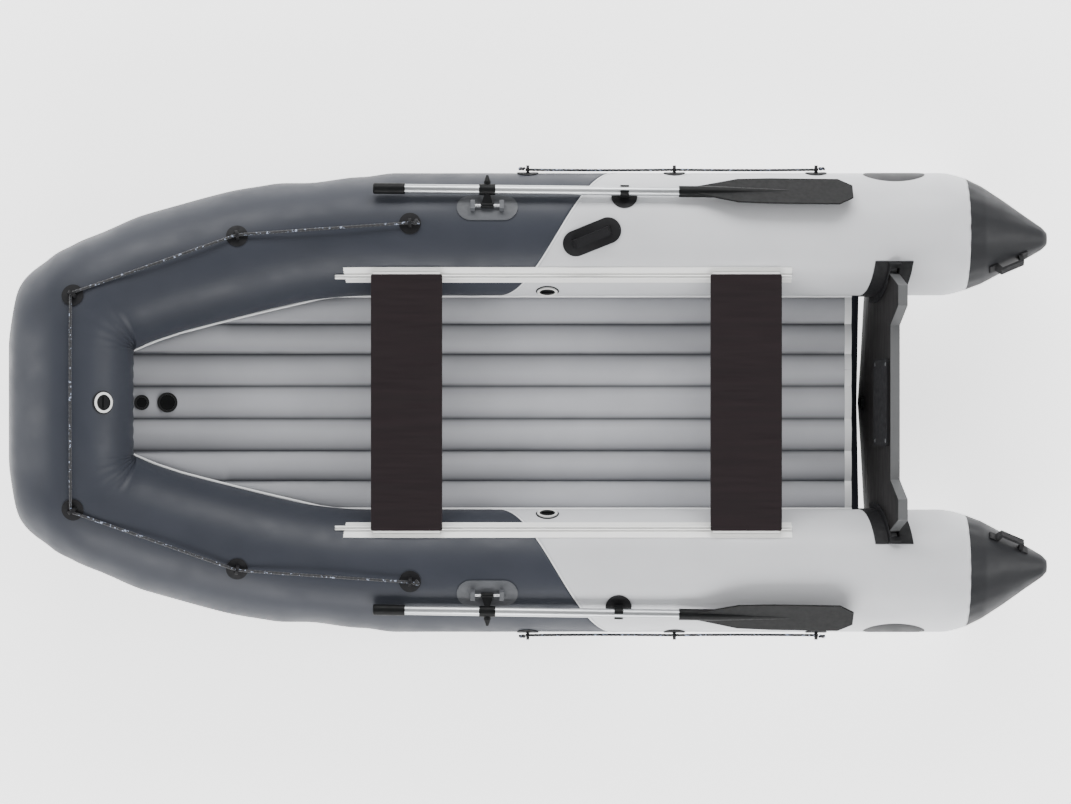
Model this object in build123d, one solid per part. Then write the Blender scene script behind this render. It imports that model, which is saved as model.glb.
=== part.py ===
from build123d import *
import math
import os

# Inflatable dinghy with an inflated V floor, two sliding bench seats, a pair of oars and a raked
# transom. Millimetres. +X aft, +Y starboard, +Z up. The origin is under the middle of the boat's
# box, on the surface that the tubes rest on. Port pieces mirror the starboard ones.

os.makedirs("parts", exist_ok=True)

# ---------------------------------------------------------------- driving dimensions
LENGTH = 3365.0              # bow face to the tips of the stern cones
TUBE_R = 200.0               # outer radius of the buoyancy tube
TUBE_SPACING = 1100.0        # between the centre lines of the two straight side tubes
SHEER_RISE = 150.0           # how far the tube's centre line climbs to the bow
SKIN = 1.5                   # coated fabric
GLUE_GAP = 0.3               # between a glued-on piece and the curved skin under it
FIT = 0.3                    # between a piece and the pocket or hole that it sits in

# buoyancy tube, in plan: offsets between the corners of its centre line
BOW_RUN = (235.0, 246.5, 321.0)          # fore-and-aft steps from the bow run to the side
BOW_TUCK = (245.0, 142.0, 76.0)          # how far inboard of the side tube each corner lies
CORNER_CLEARANCE = 5.0                   # inner radius left at the tight bow corner
BEND_TANGENTS = (80.0, 110.0, 45.0)      # tangent lengths of the three gentle bends
BULKHEAD_FROM_BOW = 1260.0               # the walls between the air chambers
BOUNDARY_FROM_STERN = 1590.0             # where the dark fabric gives way to the light, at the crest
BOUNDARY_SLOPE = 0.62                    # its slant, aft per outboard
CONE_LENGTH = 261.5
TAIL_LENGTH = 81.0                       # the light tube narrows over this length before its seam
TAIL_R = 182.0
CONE_RINGS = ((51.0, 160.0), (247.0, 36.0), (261.5, 20.0))   # distance aft of the seam, radius
CONE_TUCK = 17.0                         # the tip lies this far inboard
CONE_LIFT = 40.0                         # and this far up

# floor
CREASES = (54.0, 160.0, 258.0)           # seams between the lobes, from the middle
FLOOR_TOP = 150.0
CREASE_DEPTH = 14.0
FLOOR_TO_TRANSOM = 40.0
BOTTOM_EDGE = 84.0                       # height of the bottom skin's joint on the tube
KEEL_STRIP = (40.0, 3.0)                 # width, thickness
KEEL_RISE = 165.0                        # climb of the keel between the sheer's start and the bow
KEEL_RUN = 765.0
FLOOR_SWEEP = 17.0                       # degrees that the floor's top and bottom climb round their
BOTTOM_SWEEP = 25.0                      # centres, to inside the bow tube
WEB_END_GAP = 10.0
BINDING_WIDTH = 22.0
WELT_R = 5.0
WELT_ANGLE = 103.0                       # round the tube from its crest, inboard
WELT_STEP = 95.0                         # between the bead's bends round the bow
WELT_BEND_R = 80.0

# transom
TRANSOM_FROM_SEAM = 325.4                # inner face, at the height below
TRANSOM_DATUM = 50.0
TRANSOM_RAKE = 0.2
TRANSOM_T = 26.0
TRANSOM_OUTLINE = ((0, 9), (150, 42), (330, 76), (384, 92), (420, 200), (424, 350),
                   (374, 470), (312, 470), (250, 385))
TRIM_T = 3.0
TRIM_OVERHANG = 2.5
TRIM_FROM = 362.0
HOLDER_T = 4.0
HOLDER_LENGTH = 120.0
HOLDER_ARC = (28.0, 100.0)               # angles round the tube, inboard of the crest
HOLDER_RIB = (6.0, 24.0)                 # thickness, height
HOLDER_CAP_ARC = 8.0                     # the ribs join into a cap over this much of the arc
PAD_SIZE = (280.0, 150.0, 8.0)
PAD_Z = 290.0
PAD_SCREW_R = 7.0
PAD_SCREW_HEAD = 3.0
PAD_SCREW_SINK = 0.5                     # heads lie this far under the pad's face
PAD_SCREW_INSET = 16.0
DRAIN_Z = 66.0
DRAIN_FLANGE_R = 24.0
DRAIN_PIPE_R = 15.0
DRAIN_WALL = 3.0
DRAIN_FLANGE_T = 4.0
DRAIN_CAP = (20.0, 5.0)                  # radius, thickness
DRAIN_PLUG_DEPTH = 12.0
DRAIN_WING = (28.0, 5.0, 5.0)            # finger bar on the cap

# seat rails and seats
RAIL_ANGLE = 43.6                        # inboard of the crest
RAIL_HALF_ARC = 9.2
RAIL_BASE_T = 3.0
TRACK_R = 7.4                            # outer radius of the C-shaped track
KEDER_R = 4.5                            # bead that runs in it
KEDER_PLAY = 0.35
NECK_T = 2.4
NECK_PLAY = 0.6
RAIL_FROM_BEND = 5.0
RAIL_TO_TRANSOM = 250.0
SEAT_WIDTH = 230.0
SEAT_T = 18.0
SEAT_CORNER_R = 6.0
SEAT_EDGE_R = 3.0
SEAT_LIFT = 2.0                          # keder flange and seat stand this far over the track
SEAT_END = 414.0                         # seat board's half length
FLANGE_T = 2.0
FLANGE_W = 40.0
PROFILE_MARGIN = 7.0                     # the end profiles stop this far inside the board's corners
END_STRIP_T = 6.0
FRONT_SEAT_FROM_RAIL = 116.5             # front edge of the front seat from the rail's front end
REAR_SEAT_FROM_RAIL = 34.0               # aft edge of the rear seat from the rail's aft end
SEAT_SCREW_R = 4.5
SEAT_SCREW_Y = 388.0
SEAT_SCREW_INSET = 22.0
SEAT_SCREW_HEAD = 1.6

# rowlocks, oars and clips
ROWLOCK_X = -138.0
ROWLOCK_ANGLE = {"starboard": 23.0, "port": 19.0}        # outboard of the crest
OAR_YAW = {"starboard": -0.6, "port": 0.86}              # blade end outboard positive
PATCH_SIZE = (196.0, 87.0)
PATCH_T = 4.0
EAR = (14.0, 30.0, 27.0)                 # along the bar, across it, height over the skin
BAR_R = 4.0
BAR_LENGTH = 107.0
BAR_LIFT = 16.0
HINGE_PLAY = 0.08
CLASP_WIDTH = 42.0
CLASP_R = 9.0
OAR_REACH = 52.0                         # bar to the oar's middle, along the clasp's stem
OAR_ABOVE = 12.6                         # degrees round the tube between the base and the oar
OAR_DISTANCE = 34.8                      # oar's middle over the skin
PIN_R = 4.0
COLLAR_R = 20.0
COLLAR_LENGTH = 52.0
KNOB_R = 11.0
KNOB_LENGTH = 26.0
SHAFT_R = 15.0
SHAFT_WALL = 1.5
OAR_LENGTH = 1545.0
GRIP_TO_PIN = 368.0                      # end of the grip to the pin
GRIP_LENGTH = 103.0
GRIP_R = 18.0
SHAFT_TO_SOCKET = 985.0                  # end of the grip to the mouth of the blade's socket
SOCKET_LENGTH = 112.0
SOCKET_R = 18.5
SHAFT_IN_SOCKET = 80.0
BLADE_WIDTH = 130.0
BLADE_T = 6.0
BLADE_TILT = 50.0                        # from level, outboard edge down
CLIP_X = {"starboard": 304.0, "port": 285.0}
CLIP_DISC_R = 42.0
CLIP_JAW = (28.0, 4.0)                   # width along the oar, wall

# grab lines
ROPE_R = 4.5
EYE_DISC_R = 35.0
EYE_DISC_T = 3.0
EYE_HOLE_R = 8.4
EYE_HEIGHT = 12.5                        # rope's middle over the skin, in an eye
EYE_FOOT = 2.4                           # the bridge starts inside the disc, this far over the skin
EYE_BRIDGE = (14.5, 10.0)                # outer radius, thickness along the rope
BOW_EYES = ((1423.0, 7.5), (849.5, 13.2), (299.5, 11.2))   # distance from the bow, angle
SIDE_EYES = (-8.0, 470.0, 932.0)
SIDE_EYE_ANGLE = 80.0
KNOT_R = 11.0
KNOT_LIFT = 3.6                          # the knot stands off the eye's disc
KNOT_LENGTH = 24.0
BOW_LINE = ((-378.1, 578.3, 410.4), (-941.1, 538.7, 429.2), (-1459.1, 346.7, 543.9),
            (-1459.8, 200.0, 559.0), (-1459.8, -200.0, 559.0), (-1459.1, -346.7, 543.9),
            (-941.1, -538.7, 429.2), (-378.1, -578.3, 410.4))
BOW_LINE_RADII = (60.0, 16.0, 600.0, 600.0, 16.0, 60.0)
SIDE_LINE = ((-15.2, 759.3, 237.0), (110.0, 758.7, 219.0), (350.0, 758.7, 219.0),
             (470.0, 759.3, 237.2), (590.0, 758.7, 219.0), (815.0, 758.7, 219.0),
             (939.2, 759.3, 237.0))
SIDE_LINE_RADII = (700.0, 700.0, 40.0, 700.0, 700.0)

# handles, valves, patches
CARRY_X = 199.0
CARRY_ANGLE = -5.0
CARRY_TURN = 22.0
CARRY_PATCH = (196.0, 85.0)
GRIP_ARCH = (132.0, 108.0, 34.0, 24.0, 28.0)   # foot span, top span, height, gap height, width
STERN_HANDLE_AFT_OF_SEAM = 131.0
STERN_HANDLE_ANGLE = -50.0
STERN_ARCH = (104.0, 84.0, 30.0, 21.0, 24.0)
STERN_FOOT = (26.0, 5.0)                 # length of each foot pad past the arch, thickness
VALVE_R = 30.0
VALVE_DEPTH = 28.0
VALVE_RISE = 4.0
VALVE_CAP_R = 25.0
VALVE_CAP_T = 7.0
VALVE_BORE_R = 12.0
VALVE_PATCH_R = 38.0
VALVE_PATCH_T = 1.0
SIDE_VALVE_X = 56.0
SIDE_VALVE_ANGLE = -70.0
BOW_VALVE_ANGLE = -37.5
FLOOR_VALVE_X = -1186.0
RELIEF_VALVE_X = -1268.0
RELIEF_VALVE_R = 22.0
OVAL_PATCH = (200.0, 120.0)
OVAL_X = 1184.0
OVAL_ANGLE = 74.0
OVAL_T = 0.8

SIDES = ("starboard", "port")

# ---------------------------------------------------------------- derived places
SIDE_Y = TUBE_SPACING / 2
BOW_X = -LENGTH / 2 + TUBE_R
SEAM_X = LENGTH / 2 - CONE_LENGTH
TAIL_X = SEAM_X - TAIL_LENGTH
CORNER_X = [BOW_X + sum(BOW_RUN[:i]) for i in range(4)]
CORNER_Y = [SIDE_Y - tuck for tuck in BOW_TUCK] + [SIDE_Y]
SHEER_START = CORNER_X[3] + BEND_TANGENTS[2]
SHEER_RUN = SHEER_START - BOW_X
SHEER_R = (SHEER_RUN ** 2 + SHEER_RISE ** 2) / (2 * SHEER_RISE)
KEEL_R = (KEEL_RUN ** 2 + KEEL_RISE ** 2) / (2 * KEEL_RISE)
TRANSOM_X = SEAM_X - TRANSOM_FROM_SEAM
FLOOR_END = TRANSOM_X - FLOOR_TO_TRANSOM
BOUNDARY_X = SEAM_X + CONE_LENGTH - BOUNDARY_FROM_STERN
RAIL_FRONT = SHEER_START + RAIL_FROM_BEND
RAIL_AFT = TRANSOM_X - RAIL_TO_TRANSOM
KEEL_BOTTOM = KEEL_STRIP[1] + GLUE_GAP
BULKHEAD_X = BOW_X - TUBE_R + BULKHEAD_FROM_BOW


def sheer(x):
    """How far the tube's centre line has climbed at x."""
    forward = max(SHEER_START - x, 0.0)
    return SHEER_R - math.sqrt(SHEER_R ** 2 - forward ** 2)


# ---------------------------------------------------------------- helpers
def mirrored(shape):
    """The same piece on the port side."""
    return mirror(shape, about=Plane.XZ)


def on_side(shape, side):
    """A piece made for starboard, on the side that is asked for."""
    return shape if side == "starboard" else mirrored(shape)


def save(name, *shapes):
    """Writes one node; its pieces stay separate solids."""
    solids = [solid for shape in shapes for solid in shape.solids()]
    node = Compound(children=solids) if len(solids) > 1 else solids[0]
    export_step(node, f"parts/{name}.step")


def largest(shape):
    """The biggest solid of a trimmed shape."""
    return max(shape.solids(), key=lambda solid: solid.volume)


def cylinder(start, end, radius):
    """A solid cylinder between two points."""
    axis = Vector(*end) - Vector(*start)
    return extrude(Plane(origin=Vector(*start), z_dir=axis) * Circle(radius), axis.length)


# ---------------------------------------------------------------- the tube's route
def tube_corners():
    """Corners of the starboard centre line, from the middle of the bow to the narrowing tail."""
    corners = [Vector(BOW_X, 0, TUBE_R + SHEER_RISE)]
    for x, y in zip(CORNER_X[:3], CORNER_Y):
        corners.append(Vector(x, y, TUBE_R + sheer(x)))
    corners.append(Vector(CORNER_X[3], SIDE_Y, TUBE_R))
    corners.append(Vector(TAIL_X, SIDE_Y, TUBE_R))
    return corners


def tube_elements():
    """Runs (start, end) and arcs (start, end, centre, axis, degrees) in order, bow to tail."""
    corners = tube_corners()
    elements = []
    start = corners[0]
    for i in range(1, len(corners) - 1):
        toward = (corners[i] - corners[i - 1]).normalized()
        away = (corners[i + 1] - corners[i]).normalized()
        turn = toward.get_angle(away)
        half = math.tan(math.radians(turn / 2))
        tangent = (TUBE_R + CORNER_CLEARANCE) * half if i == 1 else BEND_TANGENTS[i - 2]
        radius = tangent / half
        first = corners[i] - toward * tangent
        last = corners[i] + away * tangent
        axis = toward.cross(away).normalized()
        centre = first + axis.cross(toward) * radius
        elements.append((start, first))
        elements.append((first, last, centre, axis, turn))
        start = last
    elements.append((start, corners[-1]))
    return elements


ROUTE = tube_elements()


def element_length(element):
    """Length of one run or arc along the centre line."""
    if len(element) == 2:
        return (element[1] - element[0]).length
    return math.radians(element[4]) * (element[0] - element[2]).length


def station(distance):
    """Point, direction aft and outboard direction at a distance along the route from the bow."""
    for element in ROUTE:
        length = element_length(element)
        if distance <= length or element is ROUTE[-1]:
            break
        distance -= length
    if len(element) == 2:
        along = (element[1] - element[0]).normalized()
        point = element[0] + along * distance
    else:
        centre, axis, turn = element[2:]
        spoke = (element[0] - centre).rotate(Axis((0, 0, 0), axis), turn * distance / length)
        point = centre + spoke
        along = axis.cross(spoke).normalized()
    outboard = Vector(0, 0, 1).cross(along).normalized() * -1
    outboard = outboard if outboard.dot(Vector(-1, 1, 0)) > 0 else outboard * -1
    return point, along, outboard


def on_tube(distance, degrees, lift=0.0):
    """Plane on the skin at a station: x aft along the tube, z outward; angle from the crest."""
    point, along, outboard = station(distance)
    up = outboard.cross(along).normalized()
    up = up if up.Z > 0 else up * -1
    outward = up * math.cos(math.radians(degrees)) + outboard * math.sin(math.radians(degrees))
    return Plane(origin=point + outward * (TUBE_R + lift), x_dir=along, z_dir=outward)


def beside(x, degrees, lift=0.0):
    """The same on the straight part, at a given x."""
    total = sum(element_length(element) for element in ROUTE)
    return on_tube(total - (TAIL_X - x), degrees, lift)


def tube_piece(element, outer, inner):
    """The stretch of tube round one run or arc."""
    if len(element) == 2:
        direction = element[1] - element[0]
    else:
        direction = element[3].cross(element[0] - element[2])
    face = Plane(origin=element[0], z_dir=direction) * Circle(outer)
    if inner > 0:
        face -= Plane(origin=element[0], z_dir=direction) * Circle(inner)
    if len(element) == 2:
        return extrude(face, amount=direction.length)
    return revolve(face, Axis(element[2], element[3]), element[4])


def tube_stretch(indices):
    """Neighbouring stretches of the hollow tube as one welded panel."""
    pieces = [tube_piece(ROUTE[i], TUBE_R, TUBE_R - SKIN) for i in indices]
    return pieces[0].fuse(*pieces[1:]) if len(pieces) > 1 else pieces[0]


SOLID_TUBES = [tube_piece(element, TUBE_R + GLUE_GAP, 0) for element in ROUTE]


def clear_of_tubes(shape):
    """Trims a shape to the space between the tubes."""
    tools = SOLID_TUBES + [mirrored(tool) for tool in SOLID_TUBES]
    return largest(shape.cut(*tools))


def prism(plane, outline, below=60.0, above=60.0):
    """An outline in a plane, thrown both ways along its normal."""
    return extrude(plane * Pos(0, 0, -below) * outline, amount=below + above)


def skin_patch(plane, outline, thickness, gap=GLUE_GAP):
    """A patch glued on the tube, following its curve. The plane lies on the skin."""
    reach = 400.0
    middle = plane.origin - plane.z_dir * TUBE_R
    start, end = middle - plane.x_dir * reach, middle + plane.x_dir * reach
    sleeve = cylinder(start, end, TUBE_R + gap + thickness) - cylinder(start, end, TUBE_R + gap)
    return largest(prism(plane, outline) & sleeve)


def arch(plane, foot_span, top_span, height, gap, width):
    """A carrying loop: a bar on two splayed legs. The plane lies where its feet stand."""
    bar = height - gap
    outer = Polygon((-foot_span / 2, 0), (foot_span / 2, 0), (top_span / 2, height),
                    (-top_span / 2, height), align=None)
    inner = Polygon((-foot_span / 2 + 1.6 * bar, 0), (foot_span / 2 - 1.6 * bar, 0),
                    (top_span / 2 - bar, gap), (-top_span / 2 + bar, gap), align=None)
    side = Plane(origin=plane.origin + plane.y_dir * (width / 2), x_dir=plane.x_dir,
                 z_dir=plane.y_dir * -1)
    return extrude(side * (outer - inner), amount=width)


# ---------------------------------------------------------------- tube panels
def hole_through_skin(plane, radius):
    """The cut that a valve passes through."""
    return prism(plane, Circle(radius + FIT), below=40.0, above=20.0)


def side_valve_plane():
    return beside(SIDE_VALVE_X, SIDE_VALVE_ANGLE)


def bow_valve_plane():
    return on_tube(0.0, BOW_VALVE_ANGLE)


def boundary_plane():
    """The slanted cut between the dark and the light panels of the starboard tube."""
    return Plane(origin=(BOUNDARY_X, SIDE_Y, TUBE_R), x_dir=(BOUNDARY_SLOPE, 1, 0),
                 z_dir=(1, -BOUNDARY_SLOPE, 0))


def light_panel():
    """Aft part of the side tube, with the narrowing tail."""
    inner = TUBE_R - SKIN
    start = ROUTE[-1][0].X
    profile = Polygon((start, TUBE_R), (TAIL_X, TUBE_R), (SEAM_X, TAIL_R), (SEAM_X, TAIL_R - SKIN),
                      (TAIL_X, inner), (start, inner), align=None)
    upright = Plane(origin=(0, SIDE_Y, TUBE_R), x_dir=(1, 0, 0), z_dir=(0, -1, 0))
    return revolve(upright * profile, Axis((0, SIDE_Y, TUBE_R), (1, 0, 0)))


def tubes():
    """The welded panels of the buoyancy tube and the walls between its chambers."""
    start = ROUTE[0][1]
    end = Vector(start.X, -start.Y, start.Z)
    centre = tube_piece((start, end), TUBE_R, TUBE_R - SKIN)
    save("tube_bow_centre", centre - hole_through_skin(bow_valve_plane(), VALVE_R))
    corner = tube_stretch([1])
    shoulder = tube_stretch([2, 3, 4, 5, 6, 7])
    side = light_panel() - hole_through_skin(side_valve_plane(), VALVE_R)
    dark = largest(split(side, boundary_plane(), keep=Keep.BOTTOM))
    light = largest(split(side, boundary_plane(), keep=Keep.TOP))
    for name, panel in (("tube_bow_corners", corner), ("tube_shoulders", shoulder),
                        ("tube_sides_dark", dark), ("tube_sides_light", light)):
        save(name, panel, mirrored(panel))
    wall = cylinder((BULKHEAD_X, SIDE_Y, TUBE_R), (BULKHEAD_X + SKIN, SIDE_Y, TUBE_R),
                    TUBE_R - SKIN - GLUE_GAP)
    save("chamber_bulkheads", wall, mirrored(wall))


def cone_ring(aft):
    """Middle and radius of the stern cone, a distance aft of its seam."""
    share = aft / CONE_LENGTH
    middle = Vector(SEAM_X + aft, SIDE_Y - CONE_TUCK * share, TUBE_R + CONE_LIFT * share)
    rings = ((0.0, TAIL_R),) + CONE_RINGS
    for (a, ra), (b, rb) in zip(rings, rings[1:]):
        if aft <= b:
            return middle, ra + (rb - ra) * (aft - a) / (b - a)
    return middle, rings[-1][1]


def cone_solid(inset):
    """The cone's shape, drawn in by inset."""
    faces = []
    for aft in (0.0,) + tuple(ring[0] for ring in CONE_RINGS):
        middle, radius = cone_ring(aft)
        last = aft == CONE_LENGTH
        place = middle - Vector(2 * inset if last else 0, 0, 0)
        faces.append(Plane(origin=place, z_dir=(1, 0, 0)) * Circle(radius - inset))
    return loft(faces, ruled=True)


def stern_cones():
    cone = largest(cone_solid(0.0) - cone_solid(SKIN))
    save("stern_cones", cone, mirrored(cone))


def cone_surface(aft, degrees):
    """Plane on the cone: x aft along its side, z outward."""
    def point(distance, angle):
        middle, radius = cone_ring(distance)
        turn = math.radians(angle)
        return middle + Vector(0, math.sin(turn), math.cos(turn)) * radius
    along = (point(aft + 1, degrees) - point(aft - 1, degrees)).normalized()
    around = point(aft, degrees + 1) - point(aft, degrees - 1)
    outward = along.cross(around).normalized()
    outward = outward if outward.Z > 0 else outward * -1
    return Plane(origin=point(aft, degrees), x_dir=along, z_dir=outward)


# ---------------------------------------------------------------- floor
def tube_side_at(z):
    """Half width between the tubes at a height, with the glue gap."""
    return SIDE_Y - math.sqrt((TUBE_R + GLUE_GAP) ** 2 - (TUBE_R - z) ** 2)


def floor_section():
    """The lobed top sheet across the boat."""
    low = FLOOR_TOP - CREASE_DEPTH
    edge = tube_side_at(low) + 2.0
    half = list(CREASES) + [edge]
    seams = [-y for y in reversed(half)] + half
    top = [ThreePointArc((a, low), ((a + b) / 2, FLOOR_TOP), (b, low))
           for a, b in zip(seams, seams[1:])]
    under = [ThreePointArc((a, low - SKIN), ((a + b) / 2, FLOOR_TOP - SKIN), (b, low - SKIN))
             for a, b in zip(seams, seams[1:])]
    ends = [Line((y, low), (y, low - SKIN)) for y in (-edge, edge)]
    return make_face(top + under + ends)


def bottom_section():
    """The V-shaped bottom skin across the boat."""
    edge = tube_side_at(BOTTOM_EDGE) + 2.0
    return Polygon((-edge, BOTTOM_EDGE), (0, KEEL_BOTTOM), (edge, BOTTOM_EDGE),
                   (edge, BOTTOM_EDGE + SKIN), (0, KEEL_BOTTOM + SKIN), (-edge, BOTTOM_EDGE + SKIN),
                   align=None)


def across(x):
    """Plane across the boat at x, with local x to starboard and local y up."""
    return Plane(origin=(x, 0, 0), x_dir=(0, 1, 0), z_dir=(1, 0, 0))


def swept_up(section, radius, degrees):
    """A section carried forward and up round the sheer's centre."""
    axis = Axis((SHEER_START, 0, radius), (0, 1, 0))
    return revolve(across(SHEER_START) * section, axis, degrees)


def floor_bow_plane(x):
    """Plane on the crest of the middle lobe of the rising floor, z up out of the boat's floor."""
    radius = TUBE_R + SHEER_R - FLOOR_TOP
    turn = math.asin((SHEER_START - x) / radius)
    outward = Vector(math.sin(turn), 0, math.cos(turn))
    point = Vector(x, 0, TUBE_R + SHEER_R - radius * math.cos(turn))
    return Plane(origin=point, x_dir=(math.cos(turn), 0, -math.sin(turn)), z_dir=outward)


def floor():
    """Top sheet, bottom skin, inner webs, end wall, binding, keel strip and welts."""
    aft_top = extrude(across(SHEER_START) * floor_section(), amount=FLOOR_END - SHEER_START)
    save("floor_top_aft", clear_of_tubes(aft_top))
    bow_top = clear_of_tubes(swept_up(floor_section(), TUBE_R + SHEER_R, FLOOR_SWEEP))
    bow_top -= hole_through_skin(floor_bow_plane(FLOOR_VALVE_X), VALVE_R)
    bow_top -= hole_through_skin(floor_bow_plane(RELIEF_VALVE_X), RELIEF_VALVE_R)
    save("floor_top_bow", largest(bow_top))
    aft_length = TRANSOM_X - TRANSOM_DATUM * TRANSOM_RAKE - GLUE_GAP - SHEER_START
    aft_bottom = extrude(across(SHEER_START) * bottom_section(), amount=aft_length)
    save("bottom_skin_aft", clear_of_tubes(aft_bottom))
    save("bottom_skin_bow", clear_of_tubes(swept_up(bottom_section(), KEEL_R, BOTTOM_SWEEP)))
    webs = []
    top = FLOOR_TOP - CREASE_DEPTH - SKIN - FIT
    low = KEEL_BOTTOM + SKIN + FIT
    edge = tube_side_at(BOTTOM_EDGE)
    for y in CREASES:
        bottom = low + (BOTTOM_EDGE - KEEL_BOTTOM) * (y + SKIN) / edge
        height = top - SKIN - bottom
        web = Pos((SHEER_START + FLOOR_END) / 2, y, bottom + height / 2) * Box(
            FLOOR_END - SHEER_START - 2 * WEB_END_GAP, SKIN, height)
        webs += [web, mirrored(web)]
    save("floor_webs", *webs)
    wall_face = Polygon((-edge - 2, top), (-edge - 2, BOTTOM_EDGE + SKIN + FIT), (0, low),
                        (edge + 2, BOTTOM_EDGE + SKIN + FIT), (edge + 2, top), align=None)
    wall = extrude(across(FLOOR_END - SKIN) * wall_face, amount=SKIN)
    save("floor_end_wall", clear_of_tubes(wall))
    lift = Pos(0, FIT + SKIN, 0) * floor_section()
    binding = extrude(across(FLOOR_END - BINDING_WIDTH) * lift, amount=BINDING_WIDTH)
    save("floor_end_binding", clear_of_tubes(binding))
    strip_length = FLOOR_END - SHEER_START
    save("keel_strip", Pos(SHEER_START + strip_length / 2, 0, KEEL_STRIP[1] / 2)
         * Box(strip_length, KEEL_STRIP[0], KEEL_STRIP[1]))


def welts():
    """The beads along the joint of the floor and the tube."""
    corner_end = sum(element_length(element) for element in ROUTE[:2])
    side_start = sum(element_length(element) for element in ROUTE[:-1])
    side_end = side_start + FLOOR_END - ROUTE[-1][0].X
    steps = round((side_start - corner_end) / WELT_STEP)
    stations = [corner_end + (side_start - corner_end) * i / steps for i in range(steps + 1)]
    points = [on_tube(distance, -WELT_ANGLE, GLUE_GAP + WELT_R).origin
              for distance in stations + [side_end]]
    path = FilletPolyline(*points, radius=WELT_BEND_R)
    bead = sweep(Plane(origin=points[0], z_dir=points[1] - points[0]) * Circle(WELT_R), path=path)
    save("floor_welts", bead, mirrored(bead))


# ---------------------------------------------------------------- transom
def transom_plane(offset=0.0):
    """Inner face of the board: x to starboard, y up the rake, z aft through the board."""
    normal = Vector(1, 0, -TRANSOM_RAKE).normalized()
    origin = Vector(TRANSOM_X, 0, TRANSOM_DATUM) + normal * offset
    return Plane(origin=origin, x_dir=(0, 1, 0), z_dir=normal)


def up_rake(z):
    """Distance up the board's face for a height."""
    return (z - TRANSOM_DATUM) * math.sqrt(1 + TRANSOM_RAKE ** 2)


def transom_outline():
    half = [(y, up_rake(z)) for y, z in TRANSOM_OUTLINE]
    other = [(-y, h) for y, h in reversed(half[1:])]
    return Polygon(*half, *other, align=None)


def drain_hole():
    plane = transom_plane(-20.0)
    spot = Pos(0, up_rake(DRAIN_Z), 0) * Circle(DRAIN_PIPE_R + FIT)
    return extrude(plane * spot, amount=TRANSOM_T + 40)


def transom_blank():
    """The board before its drain hole, clear of the tubes."""
    return clear_of_tubes(extrude(transom_plane() * transom_outline(), amount=TRANSOM_T))


def transom():
    """Board, edge trim, holders on the tubes, motor pads and their screws, drain."""
    board = transom_blank()
    save("transom_board", board - drain_hole())
    outer = extrude(transom_plane(-TRIM_OVERHANG) * offset(transom_outline(), FIT + TRIM_T),
                    amount=TRANSOM_T + 2 * TRIM_OVERHANG)
    core = extrude(transom_plane(-20.0) * offset(transom_outline(), FIT), amount=TRANSOM_T + 40)
    high = Pos(TRANSOM_X, 0, TRIM_FROM + 200) * Box(400, 1400, 400)
    save("transom_trim", clear_of_tubes((outer - core) & high))
    save("transom_holders", *[on_side(transom_holder(), side) for side in SIDES])
    pads, screws = [], []
    for offset_aft, face in ((-GLUE_GAP - PAD_SIZE[2], -1), (TRANSOM_T + GLUE_GAP, 1)):
        plane = transom_plane(offset_aft)
        outline = Pos(0, up_rake(PAD_Z), 0) * RectangleRounded(PAD_SIZE[0], PAD_SIZE[1], 14)
        pad = extrude(plane * outline, amount=PAD_SIZE[2])
        under = PAD_SCREW_HEAD + PAD_SCREW_SINK
        head = transom_plane(offset_aft + (PAD_SCREW_SINK if face < 0 else PAD_SIZE[2] - under))
        recess = transom_plane(offset_aft + (0 if face < 0 else PAD_SIZE[2] - under))
        for across_by in (-1, 1):
            for up_by in (-1, 1):
                spot = Pos(across_by * (PAD_SIZE[0] / 2 - PAD_SCREW_INSET),
                           up_rake(PAD_Z) + up_by * (PAD_SIZE[1] / 2 - PAD_SCREW_INSET), 0)
                pad -= extrude(recess * spot * Circle(PAD_SCREW_R + FIT), amount=under)
                screws.append(extrude(head * spot * Circle(PAD_SCREW_R), amount=PAD_SCREW_HEAD))
        pads.append(pad)
    save("motor_pads", *pads)
    save("motor_pad_screws", *screws)
    spot = Pos(0, up_rake(DRAIN_Z), 0)
    inner_face = -GLUE_GAP - DRAIN_FLANGE_T
    bore = Circle(DRAIN_PIPE_R - DRAIN_WALL)
    pipe = extrude(transom_plane(inner_face) * spot * (Circle(DRAIN_PIPE_R) - bore),
                   amount=TRANSOM_T + 2 * (GLUE_GAP + DRAIN_FLANGE_T))
    for place in (inner_face, TRANSOM_T + GLUE_GAP):
        flange = transom_plane(place) * spot * (Circle(DRAIN_FLANGE_R) - bore)
        pipe += extrude(flange, amount=DRAIN_FLANGE_T)
    save("drain_socket", largest(pipe))
    cap_face = inner_face - FIT
    plug_r = DRAIN_PIPE_R - DRAIN_WALL - FIT
    cap = extrude(transom_plane(cap_face - DRAIN_CAP[1]) * spot * Circle(DRAIN_CAP[0]),
                  amount=DRAIN_CAP[1])
    cap += extrude(transom_plane(cap_face) * spot * Circle(plug_r), amount=DRAIN_PLUG_DEPTH)
    cap += extrude(transom_plane(cap_face - DRAIN_CAP[1] - DRAIN_WING[2]) * spot
                   * Rectangle(*DRAIN_WING[:2]), amount=DRAIN_WING[2] + 1)
    save("drain_plug", largest(cap))


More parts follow.
